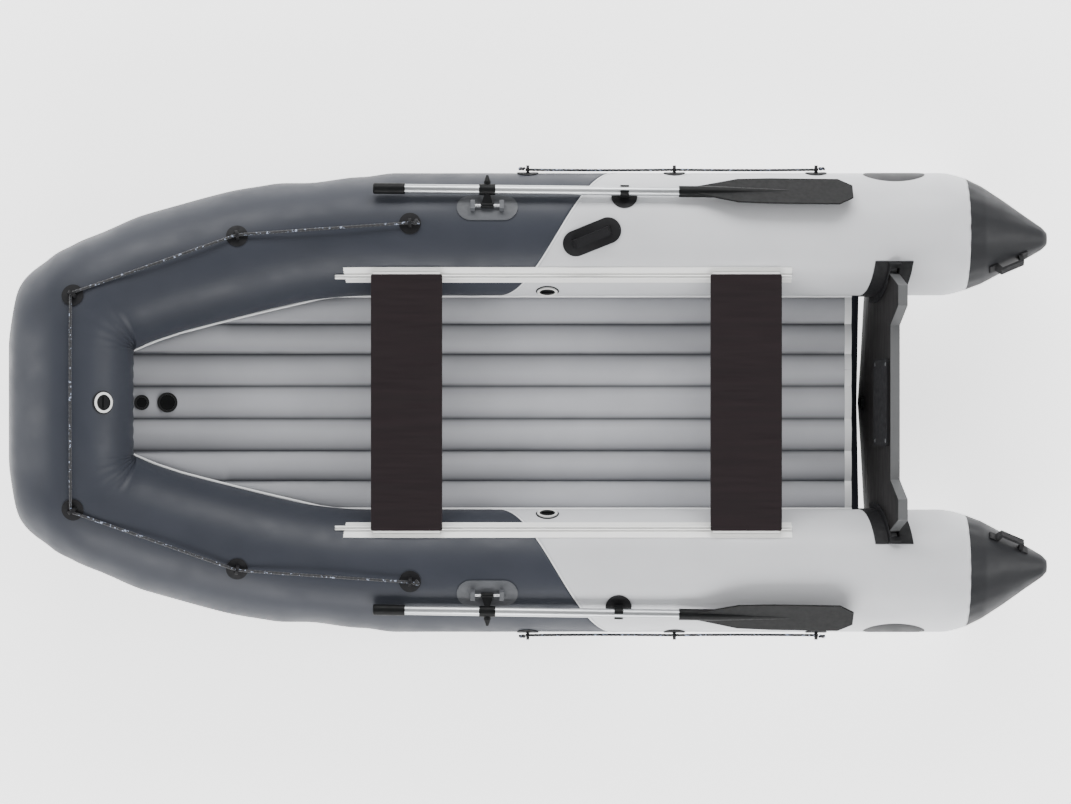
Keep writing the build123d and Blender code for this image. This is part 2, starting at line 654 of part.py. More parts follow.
def transom_holder():
    """Moulded flange glued to the tube, with two ribs that grip the board."""
    low, high = HOLDER_ARC
    axis_start = (TRANSOM_X - 200, SIDE_Y, TUBE_R)
    axis_end = (TRANSOM_X + 300, SIDE_Y, TUBE_R)
    base = cylinder(axis_start, axis_end, TUBE_R + GLUE_GAP + HOLDER_T)
    base -= cylinder(axis_start, axis_end, TUBE_R + GLUE_GAP)
    ribs = cylinder(axis_start, axis_end, TUBE_R + GLUE_GAP + HOLDER_RIB[1])
    ribs -= cylinder(axis_start, axis_end, TUBE_R + GLUE_GAP)
    reach = 2 * TUBE_R
    corners = [(0.0, 0.0)]
    for degrees in (low, (low + high) / 2, high):
        turn = math.radians(degrees)
        corners.append((-reach * math.sin(turn), reach * math.cos(turn)))
    wedge = extrude(Plane(origin=(TRANSOM_X - 200, SIDE_Y, TUBE_R), x_dir=(0, 1, 0), z_dir=(1, 0, 0))
                    * Polygon(*corners, align=None), amount=500)
    middle = (HOLDER_LENGTH - TRANSOM_T) / 2
    board = extrude(transom_plane(-FIT) * Pos(0, 300, 0) * Rectangle(1400, 1200), amount=TRANSOM_T + 2 * FIT)
    span = extrude(transom_plane(-middle) * Pos(0, 300, 0) * Rectangle(1400, 1200), amount=HOLDER_LENGTH)
    near = extrude(transom_plane(-FIT - HOLDER_RIB[0]) * Pos(0, 300, 0) * Rectangle(1400, 1200),
                   amount=TRANSOM_T + 2 * (FIT + HOLDER_RIB[0]))
    top_turn = math.radians(low + HOLDER_CAP_ARC)
    inboard = Pos(TRANSOM_X, SIDE_Y - reach / 2 - TUBE_R * math.sin(top_turn), 0)
    slot = board & (inboard * Box(600, reach, 1400))
    trim = extrude(transom_plane(-TRIM_OVERHANG - FIT) * offset(transom_outline(), 2 * FIT + TRIM_T),
                   amount=TRANSOM_T + 2 * (TRIM_OVERHANG + FIT))
    trim &= Pos(TRANSOM_X, SIDE_Y, TRIM_FROM - 1 + 200) * Box(500, reach, 400)
    holder = (base & wedge & span) + (ribs & wedge & near)
    return largest(holder - slot - trim)


# ---------------------------------------------------------------- rails and seats
def track_centre():
    """Middle of the starboard track in (y, z)."""
    plane = beside(0.0, -RAIL_ANGLE, GLUE_GAP + RAIL_BASE_T + TRACK_R - 1.0)
    return plane.origin.Y, plane.origin.Z


TRACK_Y, TRACK_Z = track_centre()
TRACK_TOP = TRACK_Z + TRACK_R
SEAT_BOTTOM = TRACK_TOP + SEAT_LIFT + FLANGE_T
TRACK_BORE = KEDER_R + KEDER_PLAY


def rail():
    """Base strip on the tube with a C-shaped track, open upward."""
    length = RAIL_AFT - RAIL_FRONT
    axis_start = Vector(RAIL_FRONT, SIDE_Y, TUBE_R)
    axis_end = Vector(RAIL_AFT, SIDE_Y, TUBE_R)
    base = cylinder(axis_start, axis_end, TUBE_R + GLUE_GAP + RAIL_BASE_T)
    base -= cylinder(axis_start, axis_end, TUBE_R + GLUE_GAP)
    reach = 2 * TUBE_R
    corners = [(0.0, 0.0)]
    for degrees in (RAIL_ANGLE - RAIL_HALF_ARC, RAIL_ANGLE + RAIL_HALF_ARC):
        turn = math.radians(degrees)
        corners.append((-reach * math.sin(turn), reach * math.cos(turn)))
    section = Plane(origin=axis_start, x_dir=(0, 1, 0), z_dir=(1, 0, 0))
    base &= extrude(section * Polygon(*corners, align=None), amount=length)
    at = Pos(TRACK_Y - SIDE_Y, TRACK_Z - TUBE_R, 0)
    track = extrude(section * at * Circle(TRACK_R), amount=length)
    bore = extrude(section * at * Circle(TRACK_BORE), amount=length)
    mouth = Pos(TRACK_Y - SIDE_Y, TRACK_Z - TUBE_R + TRACK_R, 0)
    slot = extrude(section * mouth * Rectangle(NECK_T + 2 * NECK_PLAY, 2 * TRACK_R), amount=length)
    return largest(base + track - bore - slot)


def seat(name, front):
    """A bench board, the bead profile under each end that runs in the track, and its screws."""
    back = front + SEAT_WIDTH
    middle = (front + back) / 2
    board = Pos(middle, 0, SEAT_BOTTOM + SEAT_T / 2) * Box(SEAT_WIDTH, 2 * SEAT_END, SEAT_T)
    board = fillet(board.edges().filter_by(Axis.Z), SEAT_CORNER_R)
    board = fillet(board.faces().sort_by(Axis.Z)[-1].edges(), SEAT_EDGE_R)
    save(f"{name}_board", board)
    length = SEAT_WIDTH - 2 * PROFILE_MARGIN
    section = Plane(origin=(front + PROFILE_MARGIN, 0, 0), x_dir=(0, 1, 0), z_dir=(1, 0, 0))
    bead = Pos(TRACK_Y, TRACK_Z, 0) * Circle(KEDER_R)
    neck_height = TRACK_TOP + SEAT_LIFT + FLANGE_T / 2 - TRACK_Z
    neck = Pos(TRACK_Y, TRACK_Z + neck_height / 2, 0) * Rectangle(NECK_T, neck_height)
    outer = SEAT_END + END_STRIP_T
    flange = Pos(outer - FLANGE_W / 2, SEAT_BOTTOM - FLANGE_T / 2, 0) * Rectangle(FLANGE_W, FLANGE_T)
    lip = Pos(outer - END_STRIP_T / 2, SEAT_BOTTOM + SEAT_T / 2 - FLANGE_T, 0)
    lip *= Rectangle(END_STRIP_T, SEAT_T - 2)
    profile = extrude(section * (bead + neck + flange + lip), amount=length)
    save(f"{name}_end_profiles", profile, mirrored(profile))
    heads = []
    for x in (front + SEAT_SCREW_INSET, middle, back - SEAT_SCREW_INSET):
        head = Pos(x, SEAT_SCREW_Y, SEAT_BOTTOM - FLANGE_T - SEAT_SCREW_HEAD / 2) * Cylinder(
            SEAT_SCREW_R, SEAT_SCREW_HEAD)
        heads += [head, mirrored(head)]
    save(f"{name}_screws", *heads)


# ---------------------------------------------------------------- rowlocks, oars and clips
def rowlock_frames(side):
    """Base plane, bar point, stem direction and the oar's middle, all for starboard."""
    base_angle = ROWLOCK_ANGLE[side]
    base = beside(ROWLOCK_X, base_angle)
    bar = beside(ROWLOCK_X, base_angle, BAR_LIFT).origin
    oar_angle = math.radians(base_angle + OAR_ABOVE)
    out = TUBE_R + OAR_DISTANCE
    oar = Vector(ROWLOCK_X, SIDE_Y + out * math.sin(oar_angle), TUBE_R + out * math.cos(oar_angle))
    stem = (oar - bar).normalized()
    oar = bar + stem * OAR_REACH
    return base, bar, stem, oar


def rowlock(side):
    """Returns base, bar, clasp and knobbed pin for one side, made on starboard."""
    base, bar, stem, oar = rowlock_frames(side)
    patch = skin_patch(base, SlotOverall(*PATCH_SIZE), PATCH_T)
    for end in (-1, 1):
        place = base * Pos(end * (BAR_LENGTH / 2 - EAR[0] / 2), 0, EAR[2] / 2 + 1.0)
        patch += place * Box(EAR[0], EAR[1], EAR[2] - 2.0)
    half = Vector(BAR_LENGTH / 2, 0, 0)
    patch = largest(patch.cut(cylinder(bar - half, bar + half, BAR_R + HINGE_PLAY)))
    bar_rod = cylinder(bar - half, bar + half, BAR_R)
    width = Vector(CLASP_WIDTH / 2, 0, 0)
    clasp = cylinder(bar - width, bar + width, CLASP_R)
    shoulder = OAR_REACH - COLLAR_R - FIT
    stem_plane = Plane(origin=bar, x_dir=(1, 0, 0), z_dir=stem)
    clasp += loft([stem_plane.offset(2.0) * Rectangle(CLASP_WIDTH - 6, 14),
                   stem_plane.offset(shoulder) * Rectangle(20, 20)], ruled=True)
    clasp = clasp.cut(cylinder(bar - width, bar + width, BAR_R + HINGE_PLAY))
    pin_start = bar + stem * (CLASP_R + 3)
    pin_end = bar + stem * (OAR_REACH + COLLAR_R + FIT + KNOB_LENGTH - 6)
    pin = cylinder(pin_start, pin_end, PIN_R)
    clasp = largest(clasp.cut(pin))
    knob = loft([stem_plane.offset(OAR_REACH + COLLAR_R + FIT) * Circle(KNOB_R),
                 stem_plane.offset(OAR_REACH + COLLAR_R + FIT + 6) * Circle(KNOB_R),
                 stem_plane.offset(OAR_REACH + COLLAR_R + FIT + KNOB_LENGTH) * Circle(4.0)], ruled=True)
    return patch, bar_rod, clasp, pin + knob


def oar_plane(side):
    """At the pin: z aft along the oar, y up out of the blade's face."""
    _, _, _, oar = rowlock_frames(side)
    yaw = math.radians(OAR_YAW[side])
    aft = Vector(math.cos(yaw), math.sin(yaw), 0)
    tilt = math.radians(BLADE_TILT)
    level = Vector(0, 0, 1).cross(aft).normalized()
    blade_across = level * math.cos(tilt) - Vector(0, 0, 1) * math.sin(tilt)
    return Plane(origin=oar, x_dir=blade_across, z_dir=aft)


def oar(side):
    """Returns shaft, grip, blade and collar for one side, made on starboard."""
    plane = oar_plane(side)
    _, bar, stem, _ = rowlock_frames(side)
    front = -GRIP_TO_PIN
    mouth = SHAFT_TO_SOCKET - GRIP_TO_PIN
    pin_hole = cylinder(bar, bar + stem * 2 * OAR_REACH, PIN_R + HINGE_PLAY)
    shaft_end = mouth + SHAFT_IN_SOCKET
    tube_face = Circle(SHAFT_R) - Circle(SHAFT_R - SHAFT_WALL)
    shaft = extrude(plane.offset(front + 6) * tube_face, amount=shaft_end - front - 6)
    shaft = largest(shaft.cut(pin_hole))
    grip = extrude(plane.offset(front) * Circle(GRIP_R), amount=GRIP_LENGTH)
    grip -= extrude(plane.offset(front + 6 - FIT) * Circle(SHAFT_R + FIT), amount=GRIP_LENGTH)
    grip = fillet(grip.edges().group_by(Axis.X)[0], 6.0)
    collar = extrude(plane.offset(-COLLAR_LENGTH / 2) * (Circle(COLLAR_R - 2) - Circle(SHAFT_R + FIT)),
                     amount=COLLAR_LENGTH)
    boss = cylinder(bar + stem * (OAR_REACH - COLLAR_R), bar + stem * (OAR_REACH + COLLAR_R), 10.0)
    core = extrude(plane.offset(-COLLAR_LENGTH / 2) * Circle(SHAFT_R + FIT), amount=COLLAR_LENGTH)
    collar = largest((collar + (boss - core)).cut(pin_hole))
    socket = extrude(plane.offset(mouth) * Circle(SOCKET_R), amount=SOCKET_LENGTH)
    length = OAR_LENGTH - SHAFT_TO_SOCKET
    half = BLADE_WIDTH / 2
    outline = Polygon((-SOCKET_R, 60), (-half * 0.92, 190), (-half, 300), (-half, length - 46),
                      (-half + 34, length), (half - 34, length), (half, length - 46), (half, 300),
                      (half * 0.92, 190), (SOCKET_R, 60), align=None)
    sheet_plane = Plane(origin=plane.origin + plane.z_dir * mouth + plane.y_dir * (BLADE_T / 2),
                        x_dir=plane.x_dir, z_dir=plane.y_dir * -1)
    sheet = extrude(sheet_plane * outline, amount=BLADE_T)
    rib = loft([plane.offset(mouth + SOCKET_LENGTH - 1) * Circle(SOCKET_R),
                plane.offset(mouth + length - 60) * Circle(4.0)], ruled=True)
    blade = socket + sheet + rib
    blade -= extrude(plane.offset(mouth) * Circle(SHAFT_R + FIT), amount=SHAFT_IN_SOCKET + FIT)
    return shaft, grip, largest(blade), collar


def clip(side):
    """Returns the glued base and the springy jaws of one oar clip, made on starboard."""
    plane = oar_plane(side)
    reach = (CLIP_X[side] - plane.origin.X) / plane.z_dir.X
    held = plane.origin + plane.z_dir * reach
    angle = math.degrees(math.atan2(held.Y - SIDE_Y, held.Z - TUBE_R))
    height = Vector(0, held.Y - SIDE_Y, held.Z - TUBE_R).length - TUBE_R
    seat_plane = beside(CLIP_X[side], angle)
    base = skin_patch(seat_plane, Circle(CLIP_DISC_R), PATCH_T)
    wall = SHAFT_R + FIT + CLIP_JAW[1]
    jaws_plane = Plane(origin=held - plane.z_dir * (CLIP_JAW[0] / 2), x_dir=seat_plane.y_dir,
                       z_dir=plane.z_dir)
    ring = Circle(wall) - Circle(SHAFT_R + FIT)
    up = seat_plane.z_dir
    jaws = extrude(jaws_plane * ring, amount=CLIP_JAW[0])
    opening = Plane(origin=held + up * (SHAFT_R + 10), x_dir=(1, 0, 0), z_dir=up)
    jaws -= opening * Box(60, 20, 30)
    foot_low = GLUE_GAP + PATCH_T + FIT
    foot_plane = Plane(origin=seat_plane.origin + up * foot_low, x_dir=seat_plane.x_dir, z_dir=up)
    foot = extrude(foot_plane * Rectangle(CLIP_JAW[0], 20), amount=height - foot_low - SHAFT_R - FIT - 1)
    return base, largest(jaws + foot)


# ---------------------------------------------------------------- grab lines and their eyes
def eye(plane, rope_direction):
    """Disc on the tube with a bridge over the rope, square to the rope's direction there."""
    disc = skin_patch(plane, Circle(EYE_DISC_R), EYE_DISC_T)
    flat = rope_direction - plane.z_dir * rope_direction.dot(plane.z_dir)
    turned = Plane(origin=plane.origin, x_dir=flat.normalized(), z_dir=plane.z_dir)
    side = Plane(origin=turned.origin - turned.x_dir * (EYE_BRIDGE[1] / 2), x_dir=turned.y_dir,
                 z_dir=turned.x_dir)
    outer = EYE_BRIDGE[0]
    legs = EYE_HEIGHT - EYE_FOOT
    arch_face = Pos(0, EYE_HEIGHT) * Circle(outer)
    arch_face += Pos(0, EYE_FOOT + legs / 2) * Rectangle(2 * outer, legs)
    arch_face -= Pos(0, EYE_HEIGHT) * Circle(EYE_HOLE_R)
    arch_face &= Pos(0, EYE_FOOT + outer * 2) * Rectangle(4 * outer, 4 * outer)
    whole = disc + extrude(side * arch_face, amount=EYE_BRIDGE[1])
    return largest(whole.cut(*SOLID_TUBES))


def eyes():
    """Every eye of the grab lines, each turned to the rope that it carries."""
    pieces = []
    planes = [on_tube(*place) for place in BOW_EYES]
    holes = [plane.origin + plane.z_dir * EYE_HEIGHT for plane in planes]
    last = holes[-1]
    holes.append(Vector(last.X, -last.Y, last.Z))
    for i, plane in enumerate(planes):
        ahead = (holes[i + 1] - holes[i]).normalized()
        behind = (holes[i] - holes[i - 1]).normalized() if i else ahead
        piece = eye(plane, ahead + behind)
        pieces += [piece, mirrored(piece)]
    for x in SIDE_EYES:
        piece = eye(beside(x, SIDE_EYE_ANGLE), Vector(1, 0, 0))
        pieces += [piece, mirrored(piece)]
    save("grab_line_eyes", *pieces)


def rope(name, points, radii, outward):
    """A rope along straight runs and tangent arcs, with a knot on each end that clears the disc."""
    path = FilletPolyline(*points, radius=radii)
    first, last = Vector(*points[0]), Vector(*points[-1])
    start = (Vector(*points[1]) - first).normalized()
    finish = (last - Vector(*points[-2])).normalized()
    line = sweep(Plane(origin=first, z_dir=start) * Circle(ROPE_R), path=path)
    knots = []
    for end, away, normal in ((first, start * -1, outward[0]), (last, finish, outward[1])):
        square = normal - away * normal.dot(away)
        middle = end + square.normalized() * KNOT_LIFT
        knots.append(cylinder(middle, middle + away * KNOT_LENGTH, KNOT_R))
    area = math.pi * ROPE_R ** 2
    print(name, "radii", radii, "volume over section x length", round(line.volume / (area * path.length), 5),
          "length", round(path.length, 1))
    save(name, line)
    return knots


def grab_lines():
    normal = on_tube(*BOW_EYES[0]).z_dir
    ends = (normal, Vector(normal.X, -normal.Y, normal.Z))
    knots = rope("bow_grab_line", BOW_LINE, BOW_LINE_RADII, ends)
    normal = beside(SIDE_EYES[0], SIDE_EYE_ANGLE).z_dir
    for side, sign in (("starboard", 1), ("port", -1)):
        points = [(x, sign * y, z) for x, y, z in SIDE_LINE]
        outward = Vector(normal.X, sign * normal.Y, normal.Z)
        knots += rope(f"side_grab_line_{side}", points, SIDE_LINE_RADII, (outward, outward))
    save("grab_line_knots", *knots)


# ---------------------------------------------------------------- handles, valves, patches
def handles():
    """Carry handle on the starboard tube and a loop on each stern cone."""
    plane = beside(CARRY_X, CARRY_ANGLE)
    patch = skin_patch(plane, Rot(0, 0, CARRY_TURN) * SlotOverall(*CARRY_PATCH), PATCH_T)
    turned = plane.rotated((0, 0, CARRY_TURN)).offset(PATCH_T - 1.0)
    save("carry_handle", patch + arch(turned, *GRIP_ARCH))
    on_cone = cone_surface(STERN_HANDLE_AFT_OF_SEAM, STERN_HANDLE_ANGLE).offset(GLUE_GAP)
    length, thickness = STERN_FOOT
    loop = arch(on_cone, *STERN_ARCH)
    for end in (-1, 1):
        foot = Pos(end * (STERN_ARCH[0] / 2 + length / 2 - 8), 0, thickness / 2) * Box(
            length, STERN_ARCH[4] + 6, thickness)
        loop += on_cone * foot
    save("stern_handles", loop, mirrored(loop))


def valve(plane, radius, cap_radius):
    """Valve body set through the fabric, and its quarter-turn cap."""
    body = extrude(plane.offset(-VALVE_DEPTH) * Circle(radius), amount=VALVE_DEPTH + VALVE_RISE)
    body += extrude(plane.offset(SKIN) * Circle(radius + 3), amount=VALVE_RISE - SKIN)
    recess = plane.offset(VALVE_RISE - VALVE_CAP_T - FIT) * Circle(cap_radius + FIT)
    body -= extrude(recess, amount=VALVE_CAP_T + 10)
    body -= extrude(plane.offset(-VALVE_DEPTH - 1) * Circle(VALVE_BORE_R), amount=VALVE_DEPTH)
    cap = extrude(plane.offset(VALVE_RISE - VALVE_CAP_T) * Circle(cap_radius), amount=VALVE_CAP_T)
    cap += extrude(plane.offset(VALVE_RISE - 1) * Rectangle(1.5 * cap_radius, 6), amount=5)
    return body, cap


def valves():
    """Air valves in the side, bow and floor chambers, and the floor's relief valve."""
    side_body, side_cap = valve(side_valve_plane(), VALVE_R, VALVE_CAP_R)
    bow_body, bow_cap = valve(bow_valve_plane(), VALVE_R, VALVE_CAP_R)
    floor_body, floor_cap = valve(floor_bow_plane(FLOOR_VALVE_X), VALVE_R, VALVE_CAP_R)
    relief_body, relief_cap = valve(floor_bow_plane(RELIEF_VALVE_X), RELIEF_VALVE_R,
                                    VALVE_CAP_R - VALVE_R + RELIEF_VALVE_R)
    save("valve_bodies", side_body, mirrored(side_body), bow_body, floor_body, relief_body)
    save("side_valve_cap_starboard", side_cap)
    save("side_valve_cap_port", mirrored(side_cap))
    save("bow_valve_cap", bow_cap)
    save("floor_valve_cap", floor_cap)
    save("relief_valve_cap", relief_cap)
    ring = Circle(VALVE_PATCH_R) - Circle(VALVE_R + 3 + FIT)
    side_ring = skin_patch(side_valve_plane(), ring, VALVE_PATCH_T)
    bow_ring = skin_patch(bow_valve_plane(), ring, VALVE_PATCH_T)
    return side_ring, mirrored(side_ring), bow_ring


def skin_patches(rings):
    """Rings round the valves and plain ovals on the outer sides by the transom."""
    oval = skin_patch(beside(OVAL_X, OVAL_ANGLE), Ellipse(OVAL_PATCH[0] / 2, OVAL_PATCH[1] / 2), OVAL_T)
    save("skin_patches", *rings, oval, mirrored(oval))


def rowing_gear():
    """Rowlocks, oars and clips, with one node for each piece that moves."""
    bases, bars, clip_bases, jaws = [], [], [], []
    for side in SIDES:
        base, bar, clasp, pin = rowlock(side)
        bases.append(on_side(base, side))
        bars.append(on_side(bar, side))
        save(f"rowlock_clasp_{side}", on_side(clasp, side))
        save(f"rowlock_pin_{side}", on_side(pin, side))
        shaft, grip, blade, collar = oar(side)
        save(f"oar_shaft_{side}", on_side(shaft, side))
        save(f"oar_grip_{side}", on_side(grip, side))
        save(f"oar_blade_{side}", on_side(blade, side))
        save(f"oar_collar_{side}", on_side(collar, side))
        clip_base, jaw = clip(side)
        clip_bases.append(on_side(clip_base, side))
        jaws.append(on_side(jaw, side))
    save("rowlock_bases", *bases)
    save("rowlock_bars", *bars)
    save("oar_clip_bases", *clip_bases)
    save("oar_clip_jaws", *jaws)


if __name__ == "__main__":
    tubes()
    stern_cones()
    floor()
    welts()
    transom()
    side_rail = rail()
    save("seat_rails", side_rail, mirrored(side_rail))
    seat("front_seat", RAIL_FRONT + FRONT_SEAT_FROM_RAIL)
    seat("rear_seat", RAIL_AFT - REAR_SEAT_FROM_RAIL - SEAT_WIDTH)
    rowing_gear()
    eyes()
    grab_lines()
    handles()
    skin_patches(valves())
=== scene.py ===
import math

import bmesh
import bpy
from bpy.props import FloatProperty, FloatVectorProperty, PointerProperty
from mathutils import Matrix, Vector, noise


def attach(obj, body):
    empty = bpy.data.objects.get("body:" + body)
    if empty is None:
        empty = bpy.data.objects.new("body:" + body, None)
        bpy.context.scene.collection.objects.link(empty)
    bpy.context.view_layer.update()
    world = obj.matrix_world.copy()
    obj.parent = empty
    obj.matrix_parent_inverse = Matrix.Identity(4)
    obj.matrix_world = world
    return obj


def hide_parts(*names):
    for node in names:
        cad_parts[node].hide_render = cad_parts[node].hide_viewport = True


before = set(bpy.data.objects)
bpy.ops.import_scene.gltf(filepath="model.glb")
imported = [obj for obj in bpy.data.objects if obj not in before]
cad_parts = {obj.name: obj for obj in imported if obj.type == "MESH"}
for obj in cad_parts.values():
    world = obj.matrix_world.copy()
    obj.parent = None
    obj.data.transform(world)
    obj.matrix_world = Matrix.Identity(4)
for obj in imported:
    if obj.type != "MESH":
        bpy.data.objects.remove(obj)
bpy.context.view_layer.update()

bl_info = {
    "name": "Inflatable dinghy",
    "version": (1, 0, 0),
    "blender": (4, 5, 0),
    "location": "View3D > Sidebar > Dinghy",
    "description": "Builds the looks of an inflatable dinghy round its fixed frame",
    "category": "Object",
}

# The boat's own lines, in metres: +X aft, +Y starboard, +Z up.
BOW_X = -1.4825
SIDE_Y = 0.550
TUBE_RADIUS = 0.200
SEAM_X = 1.421
TAIL_X = 1.340
SHEER_START = -0.635
SHEER_R = 2.4692
KEEL_R = 1.8559
KEEL_TOP = 0.0035
FLOOR_TOP = 0.150
FLOOR_FRONT = -1.322
FLOOR_END = 1.0556
CREASES = (0.054, 0.160, 0.258)
# The looks' line is rounded more softly at the shoulder than the frame's.
CORNERS = ((BOW_X, 0.305), (-1.2475, 0.408), (-1.0010, 0.474), (-0.7050, SIDE_Y))
TANGENTS = (0.1364, 0.115, 0.120, 0.200)
BOUNDARY_X = 0.0925
BOUNDARY_SLOPE = 0.60
CONE_RINGS = ((0.0, 0.182), (0.051, 0.160), (0.120, 0.118), (0.200, 0.066), (0.247, 0.036),
              (0.2615, 0.020))
CONE_LENGTH = 0.2615
CONE_TIP_IN = 0.017
CONE_TIP_UP = 0.040
BOTTOM_FRONT = -1.385
BOTTOM_END = 1.0846
BOTTOM_EDGE = 0.084
BOTTOM_HALF = 0.384
TAIL_TAPER = 0.018
SKIN_RIPPLE = 0.0006
RIPPLE_SIZE = 0.12
TAPE_WIDTH = 0.006
TAPE_HEIGHT = 0.0009
TAPE_GAP = 0.0001
# A wave texture repeats every 0.314 m at a scale of 1.
WAVE_PERIOD = 3.14


# ---------------------------------------------------------------- colours and nodes
def linear(code):
    """An sRGB hex colour as linear red, green, blue and alpha."""
    def channel(value):
        return value / 12.92 if value <= 0.04045 else ((value + 0.055) / 1.055) ** 2.4
    return tuple(channel(int(code[i:i + 2], 16) / 255) for i in (0, 2, 4)) + (1.0,)


def add_node(tree, kind, values=(), links=(), **settings):
    """Adds one node with its settings, socket values and incoming links."""
    made = tree.nodes.new(kind)
    for name, value in settings.items():
        setattr(made, name, value)
    for socket, value in dict(values).items():
        made.inputs[socket].default_value = value
    for socket, source in dict(links).items():
        tree.links.new(source, made.inputs[socket])
    return made


def per_metre(millimetres):
    """A texture's scale for a feature of this size."""
    return 1000.0 / millimetres


def shades(colour, amount):
    """The colour, darker and lighter by a share."""
    low = tuple(c * (1 - amount) for c in colour[:3]) + (1.0,)
    high = tuple(min(1.0, c * (1 + amount)) for c in colour[:3]) + (1.0,)
    return low, high


def make_finish(name, colour, mottle=(180, 0.06), grain=(1.2, 0.1), rough=(0.4, 0.5), stretch=(1, 1, 1),
                weave=None, painted_shade=None, metallic=0.0, sheen=0.0, shine=0.5, flecks=None, bands=None,
                stretches=()):
    """A finish: mottled colour, fine grain in the surface and roughness that varies.

    mottle: size in mm and share; grain: size in mm and bump height in mm; rough: lowest and highest;
    weave: thread spacing and height in mm; the shade argument: colour of painted shade, mixed in where the
    attribute "crease" is 1; shine: strength of the reflection; flecks: size in mm, colour and threshold;
    bands: length in mm and colour; stretches: lengths of X, each with its own colour, for parts of one
    piece that differ.
    """
    material = bpy.data.materials.new(name)
    material.use_nodes = True
    tree = material.node_tree
    shader = tree.nodes["Principled BSDF"]
    shader.inputs["Metallic"].default_value = metallic
    shader.inputs["Sheen Weight"].default_value = sheen
    shader.inputs["Specular IOR Level"].default_value = shine
    place = add_node(tree, "ShaderNodeTexCoord")
    spread = add_node(tree, "ShaderNodeMapping", {"Scale": stretch}, {"Vector": place.outputs["Object"]})
    cloud = add_node(tree, "ShaderNodeTexNoise", {"Scale": per_metre(mottle[0]), "Detail": 5.0,
                     "Roughness": 0.55}, {"Vector": spread.outputs["Vector"]})
    low, high = shades(colour, mottle[1])
    tone = add_node(tree, "ShaderNodeValToRGB", (), {"Fac": cloud.outputs["Fac"]})
    tone.color_ramp.elements[0].position = 0.3
    tone.color_ramp.elements[0].color = low
    tone.color_ramp.elements[1].position = 0.7
    tone.color_ramp.elements[1].color = high
    shown = tone.outputs["Color"]
    if flecks:
        size, fleck_colour, share = flecks
        dots = add_node(tree, "ShaderNodeTexNoise", {"Scale": per_metre(size), "Detail": 1.0},
                        {"Vector": spread.outputs["Vector"]})
        pick = add_node(tree, "ShaderNodeMapRange", {"From Min": share, "From Max": share + 0.05},
                        {"Value": dots.outputs["Fac"]})
        mixed = add_node(tree, "ShaderNodeMixRGB", {"Color2": fleck_colour},
                         {"Fac": pick.outputs["Result"], "Color1": shown})
        shown = mixed.outputs["Color"]
    if bands:
        length, band_colour = bands
        wave = add_node(tree, "ShaderNodeTexWave", {"Scale": per_metre(length) / WAVE_PERIOD,
                        "Distortion": 3.0, "Detail": 2.0, "Detail Scale": 1.0},
                        {"Vector": place.outputs["Object"]}, bands_direction="X")
        soft = add_node(tree, "ShaderNodeMapRange", {"To Max": 0.55}, {"Value": wave.outputs["Fac"]})
        mixed = add_node(tree, "ShaderNodeMixRGB", {"Color2": band_colour},
                         {"Fac": soft.outputs["Result"], "Color1": shown})
        shown = mixed.outputs["Color"]
    # Painted shade: the colour is mixed towards a shade colour where the attribute "crease" is high.
    if painted_shade:
        crease = add_node(tree, "ShaderNodeAttribute", attribute_name="crease")
        mixed = add_node(tree, "ShaderNodeMixRGB", {"Color2": painted_shade},
                         {"Fac": crease.outputs["Fac"], "Color1": shown})
        shown = mixed.outputs["Color"]
    for start, end, other in stretches:
        apart = add_node(tree, "ShaderNodeSeparateXYZ", (), {"Vector": place.outputs["Object"]})
        middle = add_node(tree, "ShaderNodeMath", {1: (start + end) / 2, 2: (end - start) / 2},
                          {0: apart.outputs["X"]}, operation="COMPARE")
        mixed = add_node(tree, "ShaderNodeMixRGB", {"Color2": other},
                         {"Fac": middle.outputs["Value"], "Color1": shown})
        shown = mixed.outputs["Color"]
    tree.links.new(shown, shader.inputs["Base Color"])
    wear = add_node(tree, "ShaderNodeTexNoise", {"Scale": per_metre(mottle[0] / 3), "Detail": 6.0},
                    {"Vector": spread.outputs["Vector"]})
    gloss = add_node(tree, "ShaderNodeMapRange", {"From Min": 0.3, "From Max": 0.7, "To Min": rough[0],
                     "To Max": rough[1]}, {"Value": wear.outputs["Fac"]})
    tree.links.new(gloss.outputs["Result"], shader.inputs["Roughness"])
    fine = add_node(tree, "ShaderNodeTexNoise", {"Scale": per_metre(grain[0]), "Detail": 3.0},
                    {"Vector": spread.outputs["Vector"]})
    bump = add_node(tree, "ShaderNodeBump", {"Strength": 0.5, "Distance": grain[1] / 1000},
                    {"Height": fine.outputs["Fac"]})
    if weave:
        for direction in ("X", "Y"):
            threads = add_node(tree, "ShaderNodeTexWave", {"Scale": per_metre(weave[0]) / WAVE_PERIOD},
                               {"Vector": place.outputs["Object"]}, bands_direction=direction)
            bump = add_node(tree, "ShaderNodeBump", {"Strength": 0.4, "Distance": weave[1] / 1000},
                            {"Height": threads.outputs["Fac"], "Normal": bump.outputs["Normal"]})
    tree.links.new(bump.outputs["Normal"], shader.inputs["Normal"])
    return material


# ---------------------------------------------------------------- the tube's line
def sheer(x):
    """How far the tube's centre line has climbed at x."""
    forward = max(SHEER_START - x, 0.0)
    return SHEER_R - math.sqrt(SHEER_R ** 2 - forward ** 2)


